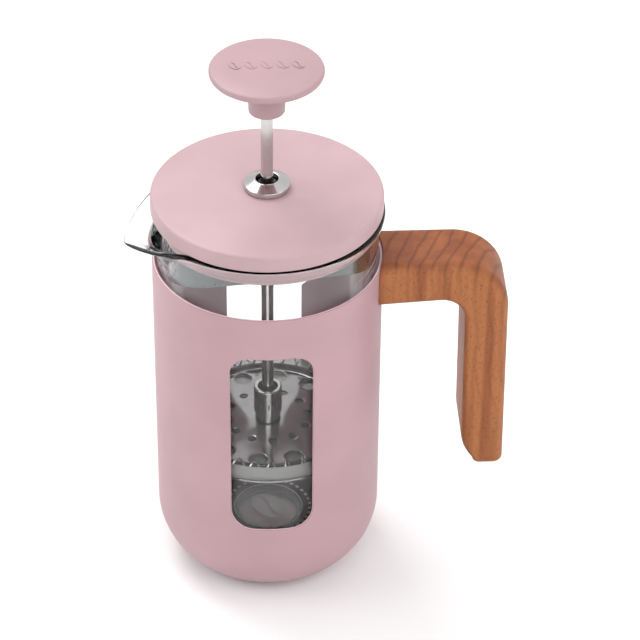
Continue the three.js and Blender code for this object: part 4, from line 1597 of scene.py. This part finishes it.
    def cross_plate(self) -> None:
        """Lower plate with eight wide openings."""
        _, high = self.shop.size("cross_plate")
        radius = spaced((2.3, 15, 12), (15, 28, 22), (28, high.y, 6))
        outline = np.stack([radius, np.full_like(radius, high.z)], -1)
        holes = self.circle_of_holes(8, 21.5, 6.0, 22.5)
        self.disc("backing_plate", "cross_plate", outline, holes, 256, SHADED_SHEET_STEEL)

    @staticmethod
    def circle_of_holes(count: int, radius: float, size: float, start: float) -> list[RoundHole]:
        """Equal round holes evenly spaced on a circle, the first at start degrees."""
        turn = np.radians(start + 360 * np.arange(count) / count)
        return [RoundHole(radius * math.cos(a), radius * math.sin(a), size) for a in turn]

    def spring(self) -> None:
        """Wire coil bent into a ring: angle a round the axis, coil angle 35a, radius R + r cos 35a."""
        low, high = self.shop.size("edge_spring")
        coil = self.spring_coil
        middle = high.x - coil - self.spring_wire
        steps = self.spring_turns * 20
        t = np.linspace(0, 1, steps + 1)
        around, wound = TURN * 0.996 * t, TURN * self.spring_turns * t
        spoke = np.stack([np.cos(around), np.sin(around), 0 * t], -1)
        radius = middle + coil * np.cos(wound)
        path = spoke * radius[:, None]
        path[:, 2] = (low.z + high.z) / 2 + coil * np.sin(wound)
        outward = spoke * np.cos(wound)[:, None] + np.array([0, 0, 1.0]) * np.sin(wound)[:, None]
        self.shop.add("rim_spring", swept(path, outward, self.spring_wire, 8), "edge_spring", SPRING_STEEL)

    def screen(self) -> None:
        """Woven screen: a disc turned up round the spring, with u round and v along the sheet."""
        low, high = self.shop.size("mesh_screen")
        r, z, thin, bend = high.y, low.z, 0.14, 3.0
        side = softened([(2.3, z), (r, z), (r, high.z)], [0, bend, 0], steps=8)
        across_middle = np.linspace(side[0], side[1], 14)[:-1]
        up_wall = np.linspace(side[-2], side[-1], 5)[1:]
        side = np.vstack([across_middle, side[1:-1], up_wall])
        back = side[::-1]
        turned_up = back[:, 0] > r - bend
        inner = back + np.where(turned_up[:, None], [-thin, 0], [0, thin])
        inner[turned_up & (inner[:, 1] <= high.z - 0.5), 1] += thin * 0.4
        profile = np.vstack([side, inner])
        columns = 180
        turn = np.linspace(0, TURN, columns + 1)
        points = around(profile[:, :1], turn, profile[:, 1:])
        run = np.concatenate([[0], np.cumsum(np.linalg.norm(np.diff(side, axis=0), axis=1))])
        v = np.concatenate([run, run[::-1]])
        u = turn * r
        flat_part = profile[:, 0] < r - bend
        coords = np.stack(np.broadcast_arrays(u[None, :], v[:, None]), -1)
        coords[flat_part] = points[flat_part][:, :, :2]
        faces = [grid_faces(len(profile), columns + 1, True, False)]
        surface = Surface(points.reshape(-1, 3), faces, coords.reshape(-1, 2))
        self.shop.add("woven_screen_cloth", surface, "mesh_screen", WIRE_CLOTH, sharp=60)

    def build(self) -> None:
        """Makes every piece of the plunger."""
        self.knob()
        self.rod()
        self.hub()
        self.spiral_plate()
        self.cross_plate()
        self.spring()
        self.screen()


# ------------------------------------------------------------------ studio


@dataclass(frozen=True)
class Softbox:
    """A square area light that faces a point above the table."""

    name: str
    azimuth: float
    elevation: float
    distance: float
    size: float
    power: float

    def place(self, aim: Vector) -> None:
        """Puts the light in the scene.

        Args:
            aim: the point it faces.
        """
        data = bpy.data.lights.new(self.name, "AREA")
        data.size = self.size
        data.energy = self.power
        light = bpy.data.objects.new(self.name, data)
        back = direction(self.azimuth, self.elevation)
        light.location = aim + back * self.distance
        light.rotation_mode = "QUATERNION"
        light.rotation_quaternion = (-back).to_track_quat("-Z", "Y")
        bpy.context.scene.collection.objects.link(light)


def direction(azimuth: float, elevation: float) -> Vector:
    """The way from the object to a viewer: azimuth 0 is -Y and 90 is +X, both in degrees."""
    a, e = math.radians(azimuth), math.radians(elevation)
    return Vector((math.sin(a) * math.cos(e), -math.cos(a) * math.cos(e), math.sin(e)))


@dataclass
class Studio:
    """Pale floor, soft light and the camera."""

    azimuth: float = -3.25
    elevation: float = 36.43
    distance: float = 1.0025
    aim: tuple[float, float, float] = (0.0175, -0.0010, 0.0945)
    roll: float = -0.526
    lens: float = 168.75
    front: float = 0.32
    back: float = 0.85
    overhead: float = 0.25

    def camera(self) -> None:
        """The camera at the product view, a little rolled."""
        back = direction(self.azimuth, self.elevation)
        right = (-back).cross(Vector((0, 0, 1))).normalized()
        up = right.cross(-back)
        roll = math.radians(self.roll)
        tilted_up = up * math.cos(roll) + right * math.sin(roll)
        tilted_right = right * math.cos(roll) - up * math.sin(roll)
        data = bpy.data.cameras.new("product_camera")
        data.lens = self.lens
        data.sensor_width = 36.0
        data.clip_start = 0.05
        data.clip_end = 50.0
        camera = bpy.data.objects.new("product_camera", data)
        axes = Matrix((tilted_right, tilted_up, back)).transposed()
        camera.matrix_world = Matrix.Translation(Vector(self.aim) + back * self.distance) @ axes.to_4x4()
        bpy.context.scene.collection.objects.link(camera)
        bpy.context.scene.camera = camera

    def floor(self) -> None:
        """A wide pale sheet under the press."""
        mesh = bpy.data.meshes.new("floor")
        reach = 8.0
        corners = [(-reach, -reach, 0), (reach, -reach, 0), (reach, reach, 0), (-reach, reach, 0)]
        mesh.from_pydata(corners, [], [(0, 1, 2, 3)])
        shader = Shader("pale_floor")
        speck = shader.noise(shader.place(), 0.02, 2)
        colour = shader.blend(speck, (0.86, 0.86, 0.86), (0.88, 0.88, 0.88))
        mesh.materials.append(shader.finished(Base_Color=colour, Roughness=0.9))
        floor = bpy.data.objects.new("floor", mesh)
        bpy.context.scene.collection.objects.link(floor)

    def surroundings(self) -> None:
        """White backdrop for the camera, and for everything else a room that is darker in front."""
        world = bpy.data.worlds.new("studio")
        world.use_nodes = True
        tree = world.node_tree
        tree.nodes.clear()

        def node(kind: str, links: dict[Any, Any], values: dict[Any, Any]) -> bpy.types.Node:
            """A world node.

            Args:
                kind: the node's type.
                links: the outputs that feed its sockets.
                values: the values of its other sockets.

            Returns:
                The node.
            """
            made = tree.nodes.new(kind)
            for key, value in values.items():
                made.inputs[key].default_value = value
            for key, value in links.items():
                tree.links.new(value, made.inputs[key])
            return made

        way = node("ShaderNodeTexCoord", {}, {}).outputs["Generated"]
        parts = node("ShaderNodeSeparateXYZ", {0: way}, {}).outputs
        depth = node("ShaderNodeMapRange", {0: parts["Y"]}, {1: -0.75, 2: 0.25, 3: self.front, 4: self.back})
        height = node("ShaderNodeMapRange", {0: parts["Z"]}, {1: 0.2, 2: 1.0, 3: 0.0, 4: self.overhead})
        level = node("ShaderNodeMath", {0: depth.outputs[0], 1: height.outputs[0]}, {})
        room = node("ShaderNodeBackground", {"Color": level.outputs[0]}, {})
        backdrop = node("ShaderNodeBackground", {}, {"Color": (1, 1, 1, 1), "Strength": 1.2})
        seen = node("ShaderNodeLightPath", {}, {}).outputs["Is Camera Ray"]
        mix = node("ShaderNodeMixShader", {0: seen, 1: room.outputs[0], 2: backdrop.outputs[0]}, {})
        node("ShaderNodeOutputWorld", {"Surface": mix.outputs[0]}, {})
        bpy.context.scene.world = world

    def lights(self) -> None:
        """Key from the back left, fills from the right and the front, and a strip on the left."""
        aim = Vector((0, 0, 0.08))
        for box in (
            Softbox("key", -145, 55, 1.6, 0.8, 11.5),
            Softbox("fill", 60, 38, 1.8, 1.2, 7.5),
            Softbox("left", -85, 30, 1.4, 0.7, 4.0),
            Softbox("front", 12, 38, 1.3, 1.0, 6.2),
        ):
            box.place(aim)

    def build(self) -> None:
        """Sets the stage. Colours are shown as they are, with no film curve."""
        bpy.context.scene.view_settings.view_transform = "Standard"
        self.camera()
        self.floor()
        self.surroundings()
        self.lights()


# ------------------------------------------------------------------ main


def main() -> None:
    """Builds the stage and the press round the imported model."""
    logging.basicConfig(level=logging.INFO, format="%(name)s: %(message)s")
    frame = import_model()
    Studio().build()
    shop = Workshop(frame)
    assemblies: tuple[Callable[..., Any], ...] = (Housing, Beaker, Lid, Plunger)
    for assembly in assemblies:
        assembly(shop).build()


if __name__ == "__main__":
    main()
